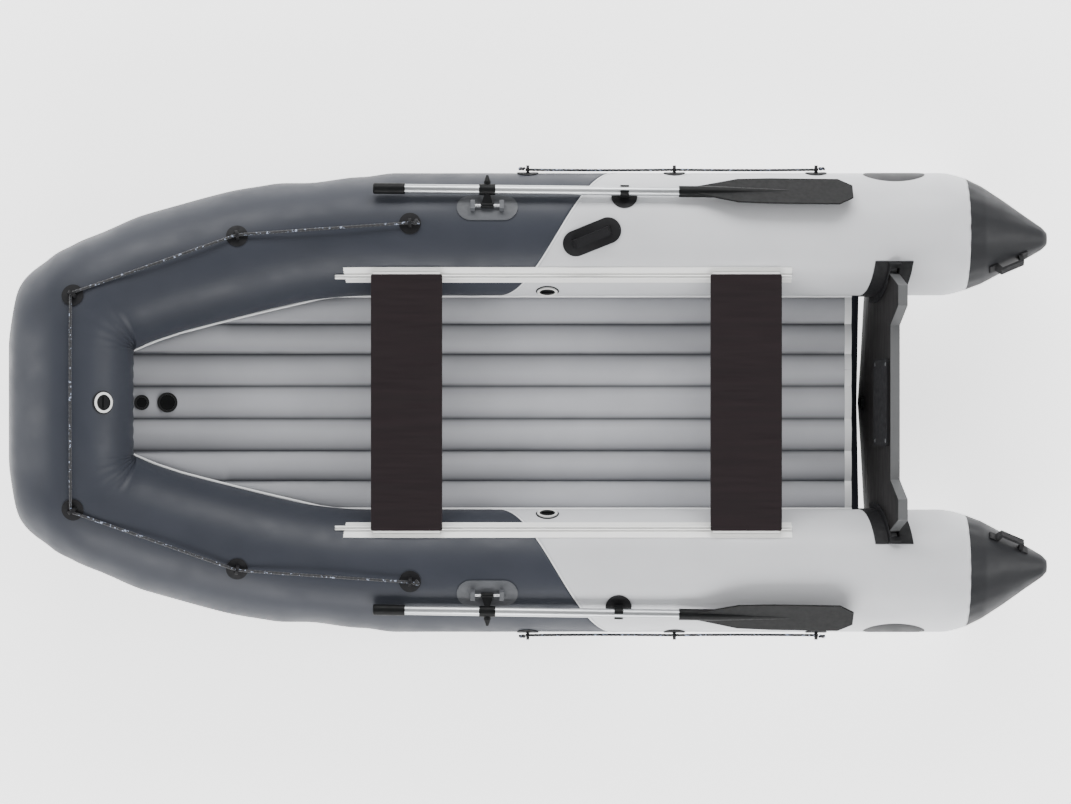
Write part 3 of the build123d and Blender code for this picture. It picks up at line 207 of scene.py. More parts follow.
def centre_line(radius):
    """Starboard centre line from the middle of the bow to the tail, as closely spaced points."""
    corners = [Vector((x, y, radius + sheer(x))) for x, y in CORNERS]
    ends = [Vector((BOW_X, 0.0, corners[0].z))] + corners + [Vector((TAIL_X, SIDE_Y, radius))]
    points = [ends[0].lerp(ends[1], i / 12 * 0.55) for i in range(13)]
    for i in range(1, 5):
        toward = (ends[i] - ends[i - 1]).normalized()
        away = (ends[i + 1] - ends[i]).normalized()
        first = ends[i] - toward * TANGENTS[i - 1]
        last = ends[i] + away * TANGENTS[i - 1]
        while (points[-1] - first).length > 0.02:
            points.append(points[-1] + (first - points[-1]).normalized() * 0.015)
        steps = 28 if i == 1 else 16
        for k in range(1, steps + 1):
            t = k / steps
            if i == 1:
                turn = toward.angle(away)
                spoke = TANGENTS[0] / math.tan(turn / 2)
                axis = toward.cross(away).normalized()
                inward = axis.cross(toward).normalized()
                centre = first + inward * spoke
                points.append(centre + Matrix.Rotation(turn * t, 3, axis) @ (first - centre))
            else:
                points.append(first.lerp(ends[i], t).lerp(ends[i].lerp(last, t), t))
    count = math.ceil((TAIL_X - points[-1].x) / 0.02)
    start = points[-1]
    points += [start.lerp(ends[-1], (k + 1) / count) for k in range(count)]
    return points


def station_frames(points):
    """For each point: the point, the direction aft, outboard and up."""
    frames = []
    for i, point in enumerate(points):
        before = points[max(i - 1, 0)]
        after = points[min(i + 1, len(points) - 1)]
        along = (after - before).normalized()
        outboard = along.cross(Vector((0, 0, 1))).normalized() * -1
        if outboard.dot(Vector((-1, 1, 0))) < 0:
            outboard.negate()
        up = outboard.cross(along)
        if up.z < 0:
            up.negate()
        frames.append((point, along, outboard, up.normalized()))
    frames[0] = (points[0], Vector((0, 1, 0)), Vector((-1, 0, 0)), Vector((0, 0, 1)))
    return frames


def wobble(point, size):
    """Smooth repeatable noise from -1 to 1."""
    return noise.noise(Vector((point[0] / size, point[1] / size, point[2] / size)))


# ---------------------------------------------------------------- mesh helpers
def new_piece(name, vertices, faces, material, smooth=True, creases=None):
    """A mesh on the hull, with its doubles merged and its faces turned outward."""
    mesh = bpy.data.meshes.new(name)
    mesh.from_pydata([tuple(v) for v in vertices], [], faces)
    # The values written here as "crease" are the floor's painted shade.
    if creases:
        layer = mesh.attributes.new("crease", "FLOAT", "POINT")
        layer.data.foreach_set("value", creases)
    shape = bmesh.new()
    shape.from_mesh(mesh)
    bmesh.ops.remove_doubles(shape, verts=shape.verts, dist=0.00005)
    bmesh.ops.dissolve_degenerate(shape, dist=0.00005, edges=shape.edges)
    bmesh.ops.recalc_face_normals(shape, faces=shape.faces)
    shape.to_mesh(mesh)
    shape.free()
    if smooth:
        mesh.shade_smooth()
    else:
        mesh.shade_flat()
    mesh.materials.append(material)
    piece = bpy.data.objects.new(name, mesh)
    bpy.context.scene.collection.objects.link(piece)
    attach(piece, "hull")
    return piece


def apply_modifier(piece, kind, **settings):
    """Adds a modifier and applies it at once."""
    modifier = piece.modifiers.new(kind.title(), kind)
    for name, value in settings.items():
        setattr(modifier, name, value)
    bpy.ops.object.select_all(action="DESELECT")
    bpy.context.view_layer.objects.active = piece
    piece.select_set(True)
    bpy.ops.object.modifier_apply(modifier=modifier.name)
    piece.select_set(False)


def grid_faces(rows, columns, closed=False):
    """Quads of a grid of rows and columns; closed joins the last column to the first."""
    faces = []
    for i in range(rows - 1):
        for k in range(columns if closed else columns - 1):
            after = (k + 1) % columns
            faces.append((i * columns + k, i * columns + after, (i + 1) * columns + after,
                          (i + 1) * columns + k))
    return faces


def mirrored(vertices):
    """The same points on the port side."""
    return [Vector((v.x, -v.y, v.z)) for v in vertices]


def boundary_shift(angle, radius):
    """How far aft the seam between dark and light lies, at an angle round the tube."""
    turning = math.radians(110)
    size = min(abs(angle), turning)
    if abs(angle) > turning:
        size = turning * (math.pi - abs(angle)) / (math.pi - turning)
    return BOUNDARY_SLOPE * radius * math.copysign(size, angle)


# How far the tube's outboard side swells past its round section: (x, swell) in metres.
SWELLS = ((-1.68, 0.0), (-1.63, 0.018), (-1.55, -0.002), (-1.48, -0.011), (-1.40, -0.012), (-1.25, -0.001),
          (-1.0, 0.004), (-0.85, -0.004), (-0.70, -0.020), (-0.55, -0.012), (-0.44, 0.0))


def swell(x, angle):
    """The swell at x, fading to nothing at the crest and on the inboard side."""
    outboard = max(0.0, math.sin(angle)) ** 1.5
    for (a, first), (b, last) in zip(SWELLS, SWELLS[1:]):
        if a <= x <= b:
            share = (x - a) / (b - a)
            share = share * share * (3 - 2 * share)
            return outboard * (first + (last - first) * share)
    return 0.0


def ring_point(station, angle, radius):
    """A point on the tube's skin; the angle is from the crest, outboard positive."""
    point, _, outboard, up = station
    return point + (up * math.cos(angle) + outboard * math.sin(angle)) * radius


SEGMENTS = 112
ANGLES = [2 * math.pi * k / SEGMENTS - math.pi for k in range(SEGMENTS)]


# ---------------------------------------------------------------- settings
class DinghySizes(bpy.types.PropertyGroup):
    """Sizes that change the looks and leave the frame alone."""
    tube_radius: FloatProperty(name="Tube radius", description="Outer radius of the tube",
                               default=TUBE_RADIUS, unit="LENGTH")
    skin: FloatProperty(name="Skin", description="Thickness of the coated fabric", default=0.0015,
                        unit="LENGTH")
    wrinkle: FloatProperty(name="Wrinkles", description="Height of the floor's wrinkles", default=0.0035,
                           unit="LENGTH")
    crease_depth: FloatProperty(name="Crease depth", description="Depth of the floor's creases",
                                default=0.014, unit="LENGTH")
    rope_radius: FloatProperty(name="Rope radius", description="Radius of the grab lines",
                               default=0.0045, unit="LENGTH")


def colour_setting(name, code):
    """A colour that a user may change."""
    return FloatVectorProperty(name=name, description=f"Colour of the {name.lower()}", size=4,
                               subtype="COLOR", min=0.0, max=1.0, default=linear(code))


class DinghyColours(bpy.types.PropertyGroup):
    """The boat's colours."""
    tube_dark: colour_setting("Dark fabric", "2C2F37")
    tube_light: colour_setting("Light fabric", "C4C5C8")
    floor: colour_setting("Floor fabric", "A8A9AE")
    cone: colour_setting("Cone fabric", "1A1B1E")
    welt: colour_setting("Welts", "DADBDC")
    rail: colour_setting("Rails", "ECECEA")
    seat: colour_setting("Seats", "170E11")
    transom: colour_setting("Transom", "121010")
    trim: colour_setting("Trim", "4C4D4E")
    pad: colour_setting("Motor pads", "1A1A1C")
    rubber: colour_setting("Black rubber", "151517")
    patch: colour_setting("Rowlock patches", "46484C")
    plastic: colour_setting("Black plastic", "0A0B0C")
    valve: colour_setting("Valve bodies", "D8D8D6")
    rope: colour_setting("Rope", "101116")
    fleck: colour_setting("Rope flecks", "8C96AC")


def finishes():
    """Every material, made once."""
    if "pvc_fabric_dark" in bpy.data.materials:
        return bpy.data.materials
    c = bpy.context.scene.dinghy_colours
    colour = {name: tuple(getattr(c, name)) for name in DinghyColours.__annotations__}
    shadow = linear("43454A")
    # PVC-coated polyester, calendered: satin, faintly woven under the coating. The threads are
    # about 1 mm apart; they are drawn 3 mm apart so that they show.
    make_finish("pvc_fabric_dark", colour["tube_dark"], shine=0.3, mottle=(260, 0.07), grain=(2.0, 0.12),
                rough=(0.42, 0.56), weave=(3, 0.04))
    make_finish("pvc_fabric_light", colour["tube_light"], mottle=(260, 0.04), grain=(2.0, 0.12),
                rough=(0.42, 0.56), weave=(3, 0.04))
    make_finish("pvc_fabric_cone", colour["cone"], shine=0.3, mottle=(160, 0.08), grain=(2.0, 0.12),
                rough=(0.45, 0.6), weave=(3, 0.04))
    # The floor's colour is painted darker towards shadow grey in its creases and next to the tubes: painted
    # shade.
    make_finish("pvc_fabric_floor", colour["floor"], mottle=(220, 0.05), grain=(2.0, 0.12),
                rough=(0.45, 0.6), weave=(3, 0.04), painted_shade=shadow)
    # Extruded soft PVC bead and white PVC rail: smooth, with a slight gloss along the run.
    make_finish("extruded_pvc_welt", colour["welt"], mottle=(90, 0.05), rough=(0.35, 0.5))
    make_finish("extruded_pvc_rail", colour["rail"], mottle=(120, 0.04), grain=(3, 0.05),
                rough=(0.28, 0.42), stretch=(0.1, 1, 1))
    # Film-faced plywood, painted: even, low sheen, grain telegraphs faintly along the board.
    make_finish("painted_plywood_seat", colour["seat"], mottle=(24, 0.16), grain=(3, 0.12),
                rough=(0.5, 0.64), stretch=(0.06, 1, 1), shine=0.25)
    make_finish("phenolic_plywood_transom", colour["transom"], mottle=(30, 0.2), grain=(2, 0.15),
                rough=(0.45, 0.6), stretch=(1, 0.08, 1), shine=0.3)
    make_finish("extruded_pvc_trim", colour["trim"], mottle=(60, 0.06), rough=(0.4, 0.55))
    make_finish("moulded_abs_pad", colour["pad"], shine=0.2, mottle=(50, 0.08), grain=(1.5, 0.1),
                rough=(0.55, 0.7))
    # Moulded rubber and nylon: spark-eroded grain from the mould, dull.
    make_finish("moulded_rubber_black", colour["rubber"], shine=0.2, mottle=(40, 0.15), grain=(1.4, 0.1),
                rough=(0.5, 0.7))
    make_finish("moulded_rubber_grey", colour["patch"], mottle=(40, 0.12), grain=(1.4, 0.25),
                rough=(0.5, 0.68))
    make_finish("moulded_nylon_black", colour["plastic"], shine=0.15, mottle=(40, 0.15), grain=(1.6, 0.06),
                rough=(0.45, 0.6))
    # The two valves in the floor are moulded in black.
    make_finish("moulded_acetal_valve", colour["valve"], mottle=(30, 0.05), grain=(1.5, 0.08),
                rough=(0.3, 0.42), stretches=((-1.32, -1.10, colour["plastic"]),))
    # Drawn and anodised tube: soft metal sheen with drawing lines along it and long, faint bands.
    make_finish("anodised_aluminium", linear("C4C6C8"), mottle=(60, 0.08), grain=(2, 0.03),
                rough=(0.3, 0.45), stretch=(0.05, 1, 1), metallic=0.9, bands=(955, linear("8E9194")))
    make_finish("brushed_stainless", linear("B4B5B7"), mottle=(20, 0.08), grain=(0.8, 0.03),
                rough=(0.25, 0.4), metallic=1.0)
    # Braided polypropylene: black sheath with pale marker threads.
    make_finish("braided_rope", colour["rope"], mottle=(8, 0.3), grain=(2.2, 0.5), rough=(0.6, 0.8),
                sheen=0.3, flecks=(9, colour["fleck"], 0.63))
    return bpy.data.materials


# ---------------------------------------------------------------- operators
class DINGHY_OT_tubes(bpy.types.Operator):
    """Builds the buoyancy tube's dark and light panels and the seam between them"""
    bl_idname = "dinghy.tubes"
    bl_label = "Tubes"

    def execute(self, context):
        sizes = context.scene.dinghy_sizes
        radius = sizes.tube_radius
        stations = station_frames(centre_line(radius))
        curved = [s for s in stations if s[0].x <= -0.45]
        dark = []
        for station in curved:
            dark += self.ring(station, radius)
        rows = 40
        for i in range(1, rows + 1):
            for angle in ANGLES:
                end = BOUNDARY_X + boundary_shift(angle, radius)
                x = curved[-1][0].x + (end - curved[-1][0].x) * i / rows
                dark.append(self.skin_point(x, angle, radius))
        count = len(curved) + rows
        half = grid_faces(count, SEGMENTS, closed=True)
        shift = len(dark)
        whole = dark + mirrored(dark)
        faces = half + [tuple(shift + k for k in face) for face in half]
        piece = new_piece("tube_dark", whole, faces, finishes()["pvc_fabric_dark"])
        apply_modifier(piece, "SOLIDIFY", thickness=sizes.skin, offset=-1)
        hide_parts("tube_bow_centre", "tube_bow_corners", "tube_shoulders", "tube_sides_dark")
        light = []
        rows = 90
        for i in range(rows + 1):
            for angle in ANGLES:
                begin = BOUNDARY_X + boundary_shift(angle, radius)
                x = begin + (SEAM_X - begin) * i / rows
                light.append(self.skin_point(x, angle, radius))
        faces = grid_faces(rows + 1, SEGMENTS, closed=True)
        for side, points in (("starboard", light), ("port", mirrored(light))):
            piece = new_piece(f"tube_light_{side}", points, faces, finishes()["pvc_fabric_light"])
            apply_modifier(piece, "SOLIDIFY", thickness=sizes.skin, offset=-1)
            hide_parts("tube_sides_light")
            self.seam_tape(side, radius)
        return {"FINISHED"}

    def ring(self, station, radius):
        """One ring, with soft puckers on the inside of the tight bow corner."""
        points = []
        for angle in ANGLES:
            inner = max(0.0, -math.sin(angle)) ** 2
            corner = max(0.0, 1 - abs(station[0].x + 1.40) / 0.14) * inner
            ripple = 0.004 * corner * math.sin(station[0].y * 160 + 3 * math.cos(angle))
            at = ring_point(station, angle, radius)
            ripple += SKIN_RIPPLE * wobble(at, RIPPLE_SIZE)
            skin = ring_point(station, angle, radius + ripple)
            points.append(skin + station[2] * math.sin(angle) * swell(at.x, angle))
        return points

    def skin_point(self, x, angle, radius):
        """A point of the straight side tube, which narrows at its tail."""
        tail = min(max((x - TAIL_X) / (SEAM_X - TAIL_X), 0.0), 1.0)
        size = radius - TAIL_TAPER * tail ** 1.6
        at = Vector((x, SIDE_Y + math.sin(angle) * size, radius + math.cos(angle) * size))
        size += SKIN_RIPPLE * wobble(at, RIPPLE_SIZE)
        wide = size + swell(x, angle)
        return Vector((x, SIDE_Y + math.sin(angle) * wide, radius + math.cos(angle) * size))

    def seam_tape(self, side, radius):
        """The pale edging glued over the seam."""
        half = TAPE_WIDTH / 2
        section = ((-half, TAPE_GAP), (-half, TAPE_HEIGHT), (half, TAPE_HEIGHT), (half, TAPE_GAP))
        vertices = []
        for angle in ANGLES:
            middle = BOUNDARY_X + boundary_shift(angle, radius)
            for along, lift in section:
                skin = self.skin_point(middle + along, angle, radius)
                vertices.append(skin + Vector((0, math.sin(angle), math.cos(angle))) * lift)
        count = len(ANGLES)
        faces = [(i * 4 + k, i * 4 + (k + 1) % 4, (i + 1) % count * 4 + (k + 1) % 4,
                  (i + 1) % count * 4 + k) for i in range(count) for k in range(4)]
        points = vertices if side == "starboard" else mirrored(vertices)
        piece = new_piece(f"seam_tape_{side}", points, faces, finishes()["extruded_pvc_welt"], smooth=False)


class DINGHY_OT_cones(bpy.types.Operator):
    """Builds the two stern cones, whose tips lean inboard and up"""
    bl_idname = "dinghy.cones"
    bl_label = "Stern cones"

    def execute(self, context):
        radius = context.scene.dinghy_sizes.tube_radius
        rows = 44
        points = []
        for i in range(rows + 1):
            aft = CONE_LENGTH * i / rows
            share = aft / CONE_LENGTH
            middle = Vector((SEAM_X + aft, SIDE_Y - CONE_TIP_IN * share, radius + CONE_TIP_UP * share))
            size = self.radius_at(aft)
            for angle in ANGLES:
                pucker = 0.0012 * math.exp(-aft / 0.03) * math.sin(angle * 22) + 0.001 * wobble(
                    (aft * 3, math.sin(angle), math.cos(angle)), 0.25)
                points.append(middle + Vector((0, math.sin(angle), math.cos(angle))) * (size + pucker))
        faces = grid_faces(rows + 1, SEGMENTS, closed=True)
        faces.append(tuple(rows * SEGMENTS + k for k in range(SEGMENTS)))
        for side, shape in (("starboard", points), ("port", mirrored(points))):
            piece = new_piece(f"stern_cone_{side}", shape, faces, finishes()["pvc_fabric_cone"])
            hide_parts("stern_cones")
        return {"FINISHED"}

    def radius_at(self, aft):
        """The cone's radius, in straight runs between its rings."""
        for (a, ra), (b, rb) in zip(CONE_RINGS, CONE_RINGS[1:]):
            if aft <= b + 1e-6:
                return ra + (rb - ra) * (aft - a) / (b - a)
        return CONE_RINGS[-1][1]


class DINGHY_OT_floor(bpy.types.Operator):
    """Builds the inflated floor's lobed top and the V-shaped bottom"""
    bl_idname = "dinghy.floor"
    bl_label = "Floor"

    def execute(self, context):
        sizes = context.scene.dinghy_sizes
        self.sizes = sizes
        self.stations = station_frames(centre_line(sizes.tube_radius))
        self.top()
        self.bottom()
        return {"FINISHED"}

    def crest(self, x):
        """Height of the lobes' crests."""
        forward = max(SHEER_START - x, 0.0)
        middle = TUBE_RADIUS + SHEER_R
        radius = middle - FLOOR_TOP
        return middle - math.sqrt(radius ** 2 - forward ** 2)

    def keel(self, x):
        """Height of the keel's line."""
        forward = max(SHEER_START - x, 0.0)
        return KEEL_TOP + KEEL_R - math.sqrt(KEEL_R ** 2 - forward ** 2)

    def half_width(self, x, height):
        """From the middle of the boat to the tube's side, at a height over the floor's line."""
        radius = self.sizes.tube_radius
        previous = None
        for point, _, outboard, _ in self.stations:
            z = height(point.x)
            drop = min(abs(z - point.z), radius * 0.98)
            edge = point - outboard * math.sqrt(radius ** 2 - drop ** 2)
            if previous and previous.x <= x <= edge.x and edge.x > previous.x:
                share = (x - previous.x) / (edge.x - previous.x)
                return previous.y + (edge.y - previous.y) * share
            previous = edge
        return SIDE_Y - 0.19

    def top(self):
        """The top sheet: lobes between creases, with soft wrinkles towards the ends."""
        sizes = self.sizes
        depth = sizes.crease_depth
        columns = []
        seams = [-0.37] + [-y for y in reversed(CREASES)] + list(CREASES) + [0.37]
        for a, b in zip(seams, seams[1:]):
            columns += [a + (b - a) * (1 - math.cos(math.pi * k / 14)) / 2 for k in range(14)]
        columns.append(seams[-1])
        rows = 210
        points, creases = [], []
        for i in range(rows + 1):
            x = FLOOR_FRONT + (FLOOR_END - FLOOR_FRONT) * i / rows
            half = max(self.half_width(x, self.crest), 0.02) + 0.004
            for y in columns:
                y = max(-half, min(half, y))
                points.append(self.top_point(x, y, half, depth))
                # Painted shade for the floor's colour: dark in each crease, a wider soft falloff in the
                # creases and at the tubes' edge, and a random drift on top.
                near = min(abs(abs(y) - c) for c in CREASES + (half,))
                deep = max(0.0, 1 - near / 0.008) * 0.6
                soft = max(0.0, 1 - near / 0.045) ** 1.6 * 0.6
                drift = 0.22 * noise.noise(Vector((x * 1.1, y * 14, 9.0)))
                creases.append(min(1.0, max(0.0, deep + soft + drift)))
        faces = grid_faces(rows + 1, len(columns))
        piece = new_piece("floor_top", points, faces, finishes()["pvc_fabric_floor"], creases=creases)
        self.face_up(piece)
        apply_modifier(piece, "SOLIDIFY", thickness=sizes.skin, offset=-1)
        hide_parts("floor_top_aft", "floor_top_bow")

    def face_up(self, piece):
        """Turns a sheet's faces to look up."""
        if sum(face.normal.z for face in piece.data.polygons) < 0:
            piece.data.flip_normals()

    def top_point(self, x, y, half, depth):
        """One point of the top sheet."""
        inner = [c for c in CREASES if c < half - 0.02]
        seams = [-half] + [-c for c in reversed(inner)] + inner + [half]
        for a, b in zip(seams, seams[1:]):
            if a - 1e-6 <= y <= b + 1e-6:
                share = (y - a) / (b - a)
                break
        arch = math.sin(math.pi * min(max(share, 0.0), 1.0)) ** 0.75
        z = self.crest(x) - depth * (1 - arch)
        ends = math.exp(-(x + 1.30) / 0.22) + math.exp(-(FLOOR_END - x) / 0.30)
        fold = noise.noise(Vector((x * 1.6, y * 26, 3.0))) * (0.35 + 0.65 * min(ends, 1.0))
        pucker = noise.noise(Vector((x * 16, y * 9, 7.0))) * 0.35 * (1 - arch)
        z += self.sizes.wrinkle * arch * (fold + pucker)
        return Vector((x, y, z))

    def bottom(self):
        """The bottom sheet, V-shaped, and rising to the bow."""
        rows, columns = 110, 24
        points = []
        for i in range(rows + 1):
            x = BOTTOM_FRONT + (BOTTOM_END - BOTTOM_FRONT) * i / rows
            half = max(self.half_width(x, lambda at: self.keel(at) + BOTTOM_EDGE), 0.02) + 0.003
            for k in range(columns + 1):
                side = 2 * k / columns - 1
                y = side * half
                z = self.keel(x) + BOTTOM_EDGE * abs(side) * half / BOTTOM_HALF
                points.append(Vector((x, y, z)))
        faces = grid_faces(rows + 1, columns + 1)
        piece = new_piece("bottom_skin", points, faces, finishes()["pvc_fabric_dark"])
        self.face_up(piece)
        piece.data.flip_normals()
        apply_modifier(piece, "SOLIDIFY", thickness=self.sizes.skin, offset=-1)
        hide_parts("bottom_skin_aft", "bottom_skin_bow")


# Grab lines: the corners of each route, with more points about six diameters from the eyes. The two
# corners at the bow lie 3 mm further out than the route's.
BOW_LINE = ((-0.3781, 0.5783, 0.4104), (-0.8870, 0.5425, 0.4274), (-0.9411, 0.5387, 0.4292),
            (-0.9900, 0.5205, 0.4400), (-1.4310, 0.3572, 0.5377), (-1.4610, 0.3490, 0.5440),
            (-1.4600, 0.3150, 0.5475), (-1.4598, 0.2000, 0.5590), (-1.4598, -0.2000, 0.5590),
            (-1.4600, -0.3150, 0.5475), (-1.4610, -0.3490, 0.5440), (-1.4310, -0.3572, 0.5377),
            (-0.9900, -0.5205, 0.4400), (-0.9411, -0.5387, 0.4292), (-0.8870, -0.5425, 0.4274),
            (-0.3781, -0.5783, 0.4104))
SIDE_LINE = ((-0.0152, 0.7593, 0.2370), (0.1100, 0.7587, 0.2190), (0.3500, 0.7587, 0.2190),
             (0.4700, 0.7593, 0.2372), (0.5900, 0.7587, 0.2190), (0.8150, 0.7587, 0.2190),
             (0.9392, 0.7593, 0.2370))
ROPE_STEP = 0.0025
ROPE_TWIST = 0.045
STRANDS = 3
STRAND_DEPTH = 0.16


class DINGHY_OT_grab_lines(bpy.types.Operator):
    """Lays the grab lines through their eyes, with a knot at each end"""
    bl_idname = "dinghy.grab_lines"
    bl_label = "Grab lines"

    def execute(self, context):
        radius = context.scene.dinghy_sizes.rope_radius
        bow_normal = Vector((0, 0.131, 0.991))
        side_normal = Vector((0, 0.985, 0.174))
        flip = Vector((1, -1, 1))
        self.rope("bow_grab_line", BOW_LINE, radius, (bow_normal, bow_normal * flip))
        for side, sign in (("starboard", 1), ("port", -1)):
            points = [(x, y * sign, z) for x, y, z in SIDE_LINE]
            normal = side_normal * Vector((1, sign, 1))
            self.rope(f"side_grab_line_{side}", points, radius, (normal, normal))
        return {"FINISHED"}

    def rope(self, name, points, radius, normals):
        """One rope as twisted strands along a smooth line, and its two knots."""
        line = self.smooth_line(name, points)
        piece = self.sweep(name + "_rope", line, radius)
        for end, (at, toward, normal) in enumerate(((line[0], line[0] - line[1], normals[0]),
                                                    (line[-1], line[-1] - line[-2], normals[1]))):
            self.knot(f"{name}_knot_{end + 1}", at, toward.normalized(), normal, radius)
        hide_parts(name)

    def smooth_line(self, name, points):
        """Points read from the route's own spline."""
        curve = bpy.data.curves.new(name + "_route", "CURVE")
        curve.dimensions = "3D"
        curve.resolution_u = 24
        spline = curve.splines.new("NURBS")
        spline.points.add(len(points) - 1)
        for k, point in enumerate(points):
            spline.points[k].co = (*point, 1.0)
        spline.order_u = 3
        spline.use_endpoint_u = True
        route = bpy.data.objects.new(name + "_route", curve)
        bpy.context.scene.collection.objects.link(route)
        bpy.context.view_layer.update()
        mesh = bpy.data.meshes.new_from_object(route)
        line = [v.co.copy() for v in mesh.vertices]
        bpy.data.meshes.remove(mesh)
        bpy.data.objects.remove(route)
        if (line[0] - Vector(points[0])).length > (line[-1] - Vector(points[0])).length:
            line.reverse()
        return line

    def evenly(self, line, step):
        """The same line at an even step."""
        points = [line[0]]
        spare = 0.0
        for a, b in zip(line, line[1:]):
            length = (b - a).length
            at = step - spare
            while at <= length:
                points.append(a.lerp(b, at / length))
                at += step
            spare = length - (at - step)
        points.append(line[-1])
        return points

    def sweep(self, name, line, radius, sides=14):
        """A lobed section carried along a line, turning once in each twist."""
        points = self.evenly(line, ROPE_STEP)
        vertices = []
        normal = Vector((0, 0, 1))
        travelled = 0.0
        for i, point in enumerate(points):
            along = (points[min(i + 1, len(points) - 1)] - points[max(i - 1, 0)]).normalized()
            normal = (normal - along * normal.dot(along)).normalized()
            across = along.cross(normal)
            phase = 2 * math.pi * travelled / ROPE_TWIST
            for k in range(sides):
                turn = 2 * math.pi * k / sides
                size = radius * (1 - STRAND_DEPTH * math.sin(STRANDS / 2 * (turn - phase)) ** 2)
                vertices.append(point + (normal * math.cos(turn) + across * math.sin(turn)) * size)
            if i + 1 < len(points):
                travelled += (points[i + 1] - point).length
        rows = len(points)
        faces = grid_faces(rows, sides, closed=True)
        faces.append(tuple(reversed(range(sides))))
        faces.append(tuple((rows - 1) * sides + k for k in range(sides)))
        return new_piece(name, vertices, faces, finishes()["braided_rope"])

    def knot(self, name, at, away, normal, radius):
        """An overhand knot: the rope's own end, turned through itself."""
        side = away.cross(normal).normalized()
        lift = (normal - away * normal.dot(away)).normalized()
        middle = at + away * 0.012 + lift * 0.003
        loop = []
        for k in range(61):
            t = 2 * math.pi * k / 60
            out = math.sin(t) + 2 * math.sin(2 * t)
            across = math.cos(t) - 2 * math.cos(2 * t)
            rise = -math.sin(3 * t)
            loop.append(middle + away * out * 0.0032 + side * across * 0.0026 + lift * rise * 0.0030)
        piece = self.sweep(name, loop, radius * 0.72, sides=10)
        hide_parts("grab_line_knots")
        return piece


FINISH_OF = {
    "chamber_bulkheads": "pvc_fabric_light", "floor_webs": "pvc_fabric_floor",
    "floor_end_wall": "pvc_fabric_floor", "floor_end_binding": "extruded_pvc_welt",
    "floor_welts": "extruded_pvc_welt", "keel_strip": "moulded_rubber_black",
    "skin_patches": "pvc_fabric_cone", "carry_handle": "moulded_rubber_black",
    "stern_handles": "moulded_rubber_black", "grab_line_eyes": "moulded_rubber_black",
    "transom_holders": "moulded_rubber_black", "oar_clip_bases": "moulded_rubber_black",
    "oar_clip_jaws": "moulded_nylon_black", "rowlock_bases": "moulded_rubber_grey",
    "rowlock_bars": "brushed_stainless", "seat_rails": "extruded_pvc_rail",
    "transom_board": "phenolic_plywood_transom", "transom_trim": "extruded_pvc_trim",
    "motor_pads": "moulded_abs_pad", "motor_pad_screws": "brushed_stainless",
    "drain_socket": "moulded_nylon_black", "drain_plug": "moulded_nylon_black",
    "valve_bodies": "moulded_acetal_valve", "side_valve_cap_starboard": "moulded_nylon_black",
    "side_valve_cap_port": "moulded_nylon_black", "bow_valve_cap": "moulded_nylon_black",
    "floor_valve_cap": "moulded_nylon_black", "relief_valve_cap": "moulded_nylon_black",
}
for place in ("front", "rear"):
    FINISH_OF[f"{place}_seat_board"] = "painted_plywood_seat"
    FINISH_OF[f"{place}_seat_end_profiles"] = "extruded_pvc_rail"
    FINISH_OF[f"{place}_seat_screws"] = "brushed_stainless"
for side_name in ("starboard", "port"):
    for moulded in ("rowlock_clasp", "rowlock_pin", "oar_grip", "oar_blade", "oar_collar"):
        FINISH_OF[f"{moulded}_{side_name}"] = "moulded_nylon_black"
    FINISH_OF[f"oar_shaft_{side_name}"] = "anodised_aluminium"


class DINGHY_OT_fittings(bpy.types.Operator):
    """Gives the carried-over fittings their finishes"""
    bl_idname = "dinghy.fittings"
    bl_label = "Fittings"

    def execute(self, context):
        materials = finishes()
        for name, finish in FINISH_OF.items():
            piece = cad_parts[name]
            for slot in piece.material_slots:
                slot.material = materials[finish]
            if not piece.material_slots:
                piece.data.materials.append(materials[finish])
        return {"FINISHED"}


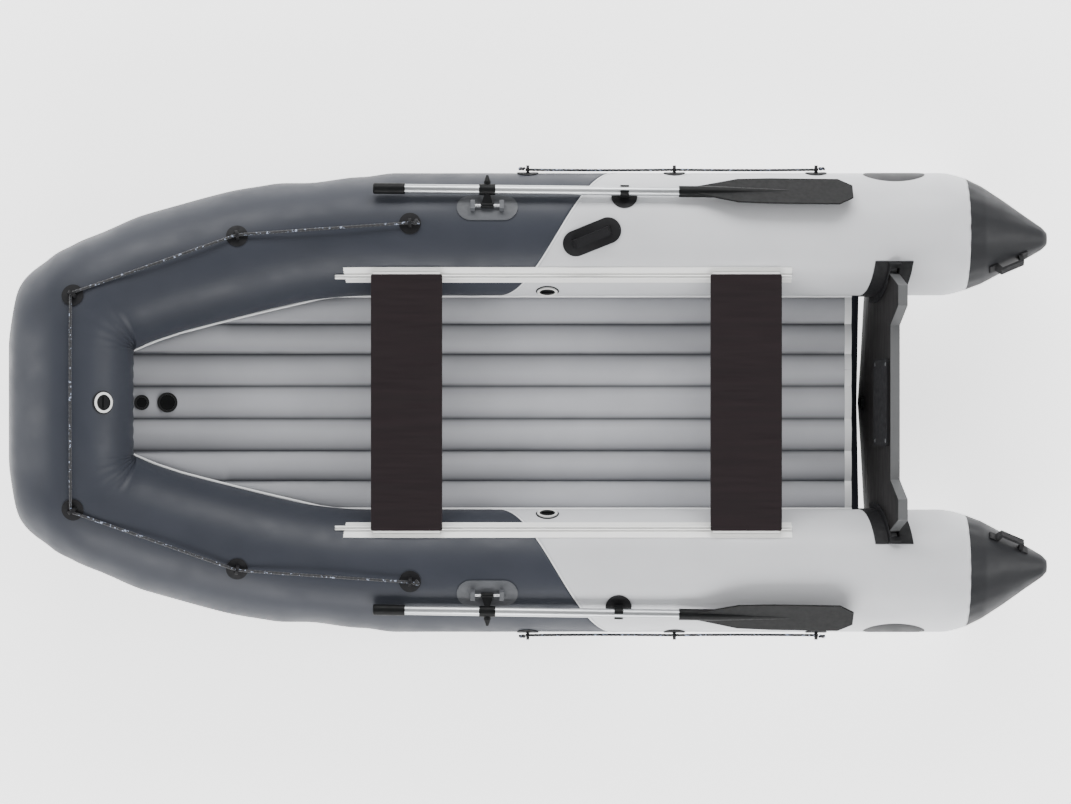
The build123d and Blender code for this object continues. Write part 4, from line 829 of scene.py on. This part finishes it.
class DINGHY_OT_stage(bpy.types.Operator):
    """Sets the pale floor, the soft studio lights and the camera"""
    bl_idname = "dinghy.stage"
    bl_label = "Stage"

    def execute(self, context):
        bpy.ops.object.select_all(action="DESELECT")
        bpy.ops.mesh.primitive_plane_add(size=60.0, location=(0, 0, -0.002))
        ground = context.active_object
        ground.name = "studio_floor"
        pale = make_finish("pale_floor", linear("F6F6F6"), mottle=(900, 0.01), grain=(40, 0.1),
                           rough=(0.7, 0.85))
        glow = pale.node_tree.nodes["Principled BSDF"]
        glow.inputs["Emission Color"].default_value = (1, 1, 1, 1)
        glow.inputs["Emission Strength"].default_value = 1.6
        ground.data.materials.append(pale)
        camera_data = bpy.data.cameras.new("camera")
        camera_data.lens = 123.3
        camera_data.sensor_width = 36.0
        camera = bpy.data.objects.new("camera", camera_data)
        camera.location = (0.0173, 0.0016, 12.2)
        context.scene.collection.objects.link(camera)
        context.scene.camera = camera
        self.soft_light("starboard_box", (0, 5.6, 3.4), (7.5, 2.4), 620)
        self.soft_light("port_box", (0, -5.6, 3.4), (7.5, 2.4), 560)
        self.soft_light("bow_box", (-6.4, 0, 3.2), (2.4, 4.5), 260)
        self.soft_light("stern_box", (6.4, 0, 3.2), (2.4, 4.5), 260)
        world = context.scene.world or bpy.data.worlds.new("studio")
        context.scene.world = world
        world.use_nodes = True
        background = world.node_tree.nodes["Background"]
        background.inputs["Color"].default_value = (1, 1, 1, 1)
        background.inputs["Strength"].default_value = 0.40
        return {"FINISHED"}

    def soft_light(self, name, place, size, power):
        """A large soft box aimed at the boat."""
        light = bpy.data.lights.new(name, "AREA")
        light.shape = "RECTANGLE"
        light.size, light.size_y = size
        light.energy = power
        lamp = bpy.data.objects.new(name, light)
        lamp.location = place
        lamp.rotation_mode = "QUATERNION"
        lamp.rotation_quaternion = (-Vector(place)).to_track_quat("-Z", "Y")
        lamp.visible_camera = False
        bpy.context.scene.collection.objects.link(lamp)


class DINGHY_PT_panel(bpy.types.Panel):
    """Lists the boat's sizes, colours and building steps"""
    bl_idname = "DINGHY_PT_panel"
    bl_label = "Inflatable dinghy"
    bl_space_type = "VIEW_3D"
    bl_region_type = "UI"
    bl_category = "Dinghy"

    def draw(self, context):
        for group in (context.scene.dinghy_sizes, context.scene.dinghy_colours):
            for name in type(group).__annotations__:
                self.layout.prop(group, name)
        for operator in OPERATORS:
            self.layout.operator(operator.bl_idname)


OPERATORS = (DINGHY_OT_stage, DINGHY_OT_grab_lines, DINGHY_OT_tubes, DINGHY_OT_cones, DINGHY_OT_floor,
             DINGHY_OT_fittings)
CLASSES = (DinghySizes, DinghyColours) + OPERATORS + (DINGHY_PT_panel,)


def register():
    for cls in CLASSES:
        bpy.utils.register_class(cls)
    bpy.types.Scene.dinghy_sizes = PointerProperty(type=DinghySizes)
    bpy.types.Scene.dinghy_colours = PointerProperty(type=DinghyColours)


def unregister():
    del bpy.types.Scene.dinghy_colours
    del bpy.types.Scene.dinghy_sizes
    for cls in reversed(CLASSES):
        bpy.utils.unregister_class(cls)


def main():
    """Builds everything."""
    register()
    bpy.ops.object.select_all(action="DESELECT")
    for operator in OPERATORS:
        group, name = operator.bl_idname.split(".")
        getattr(getattr(bpy.ops, group), name)()


if __name__ == "__main__":
    main()
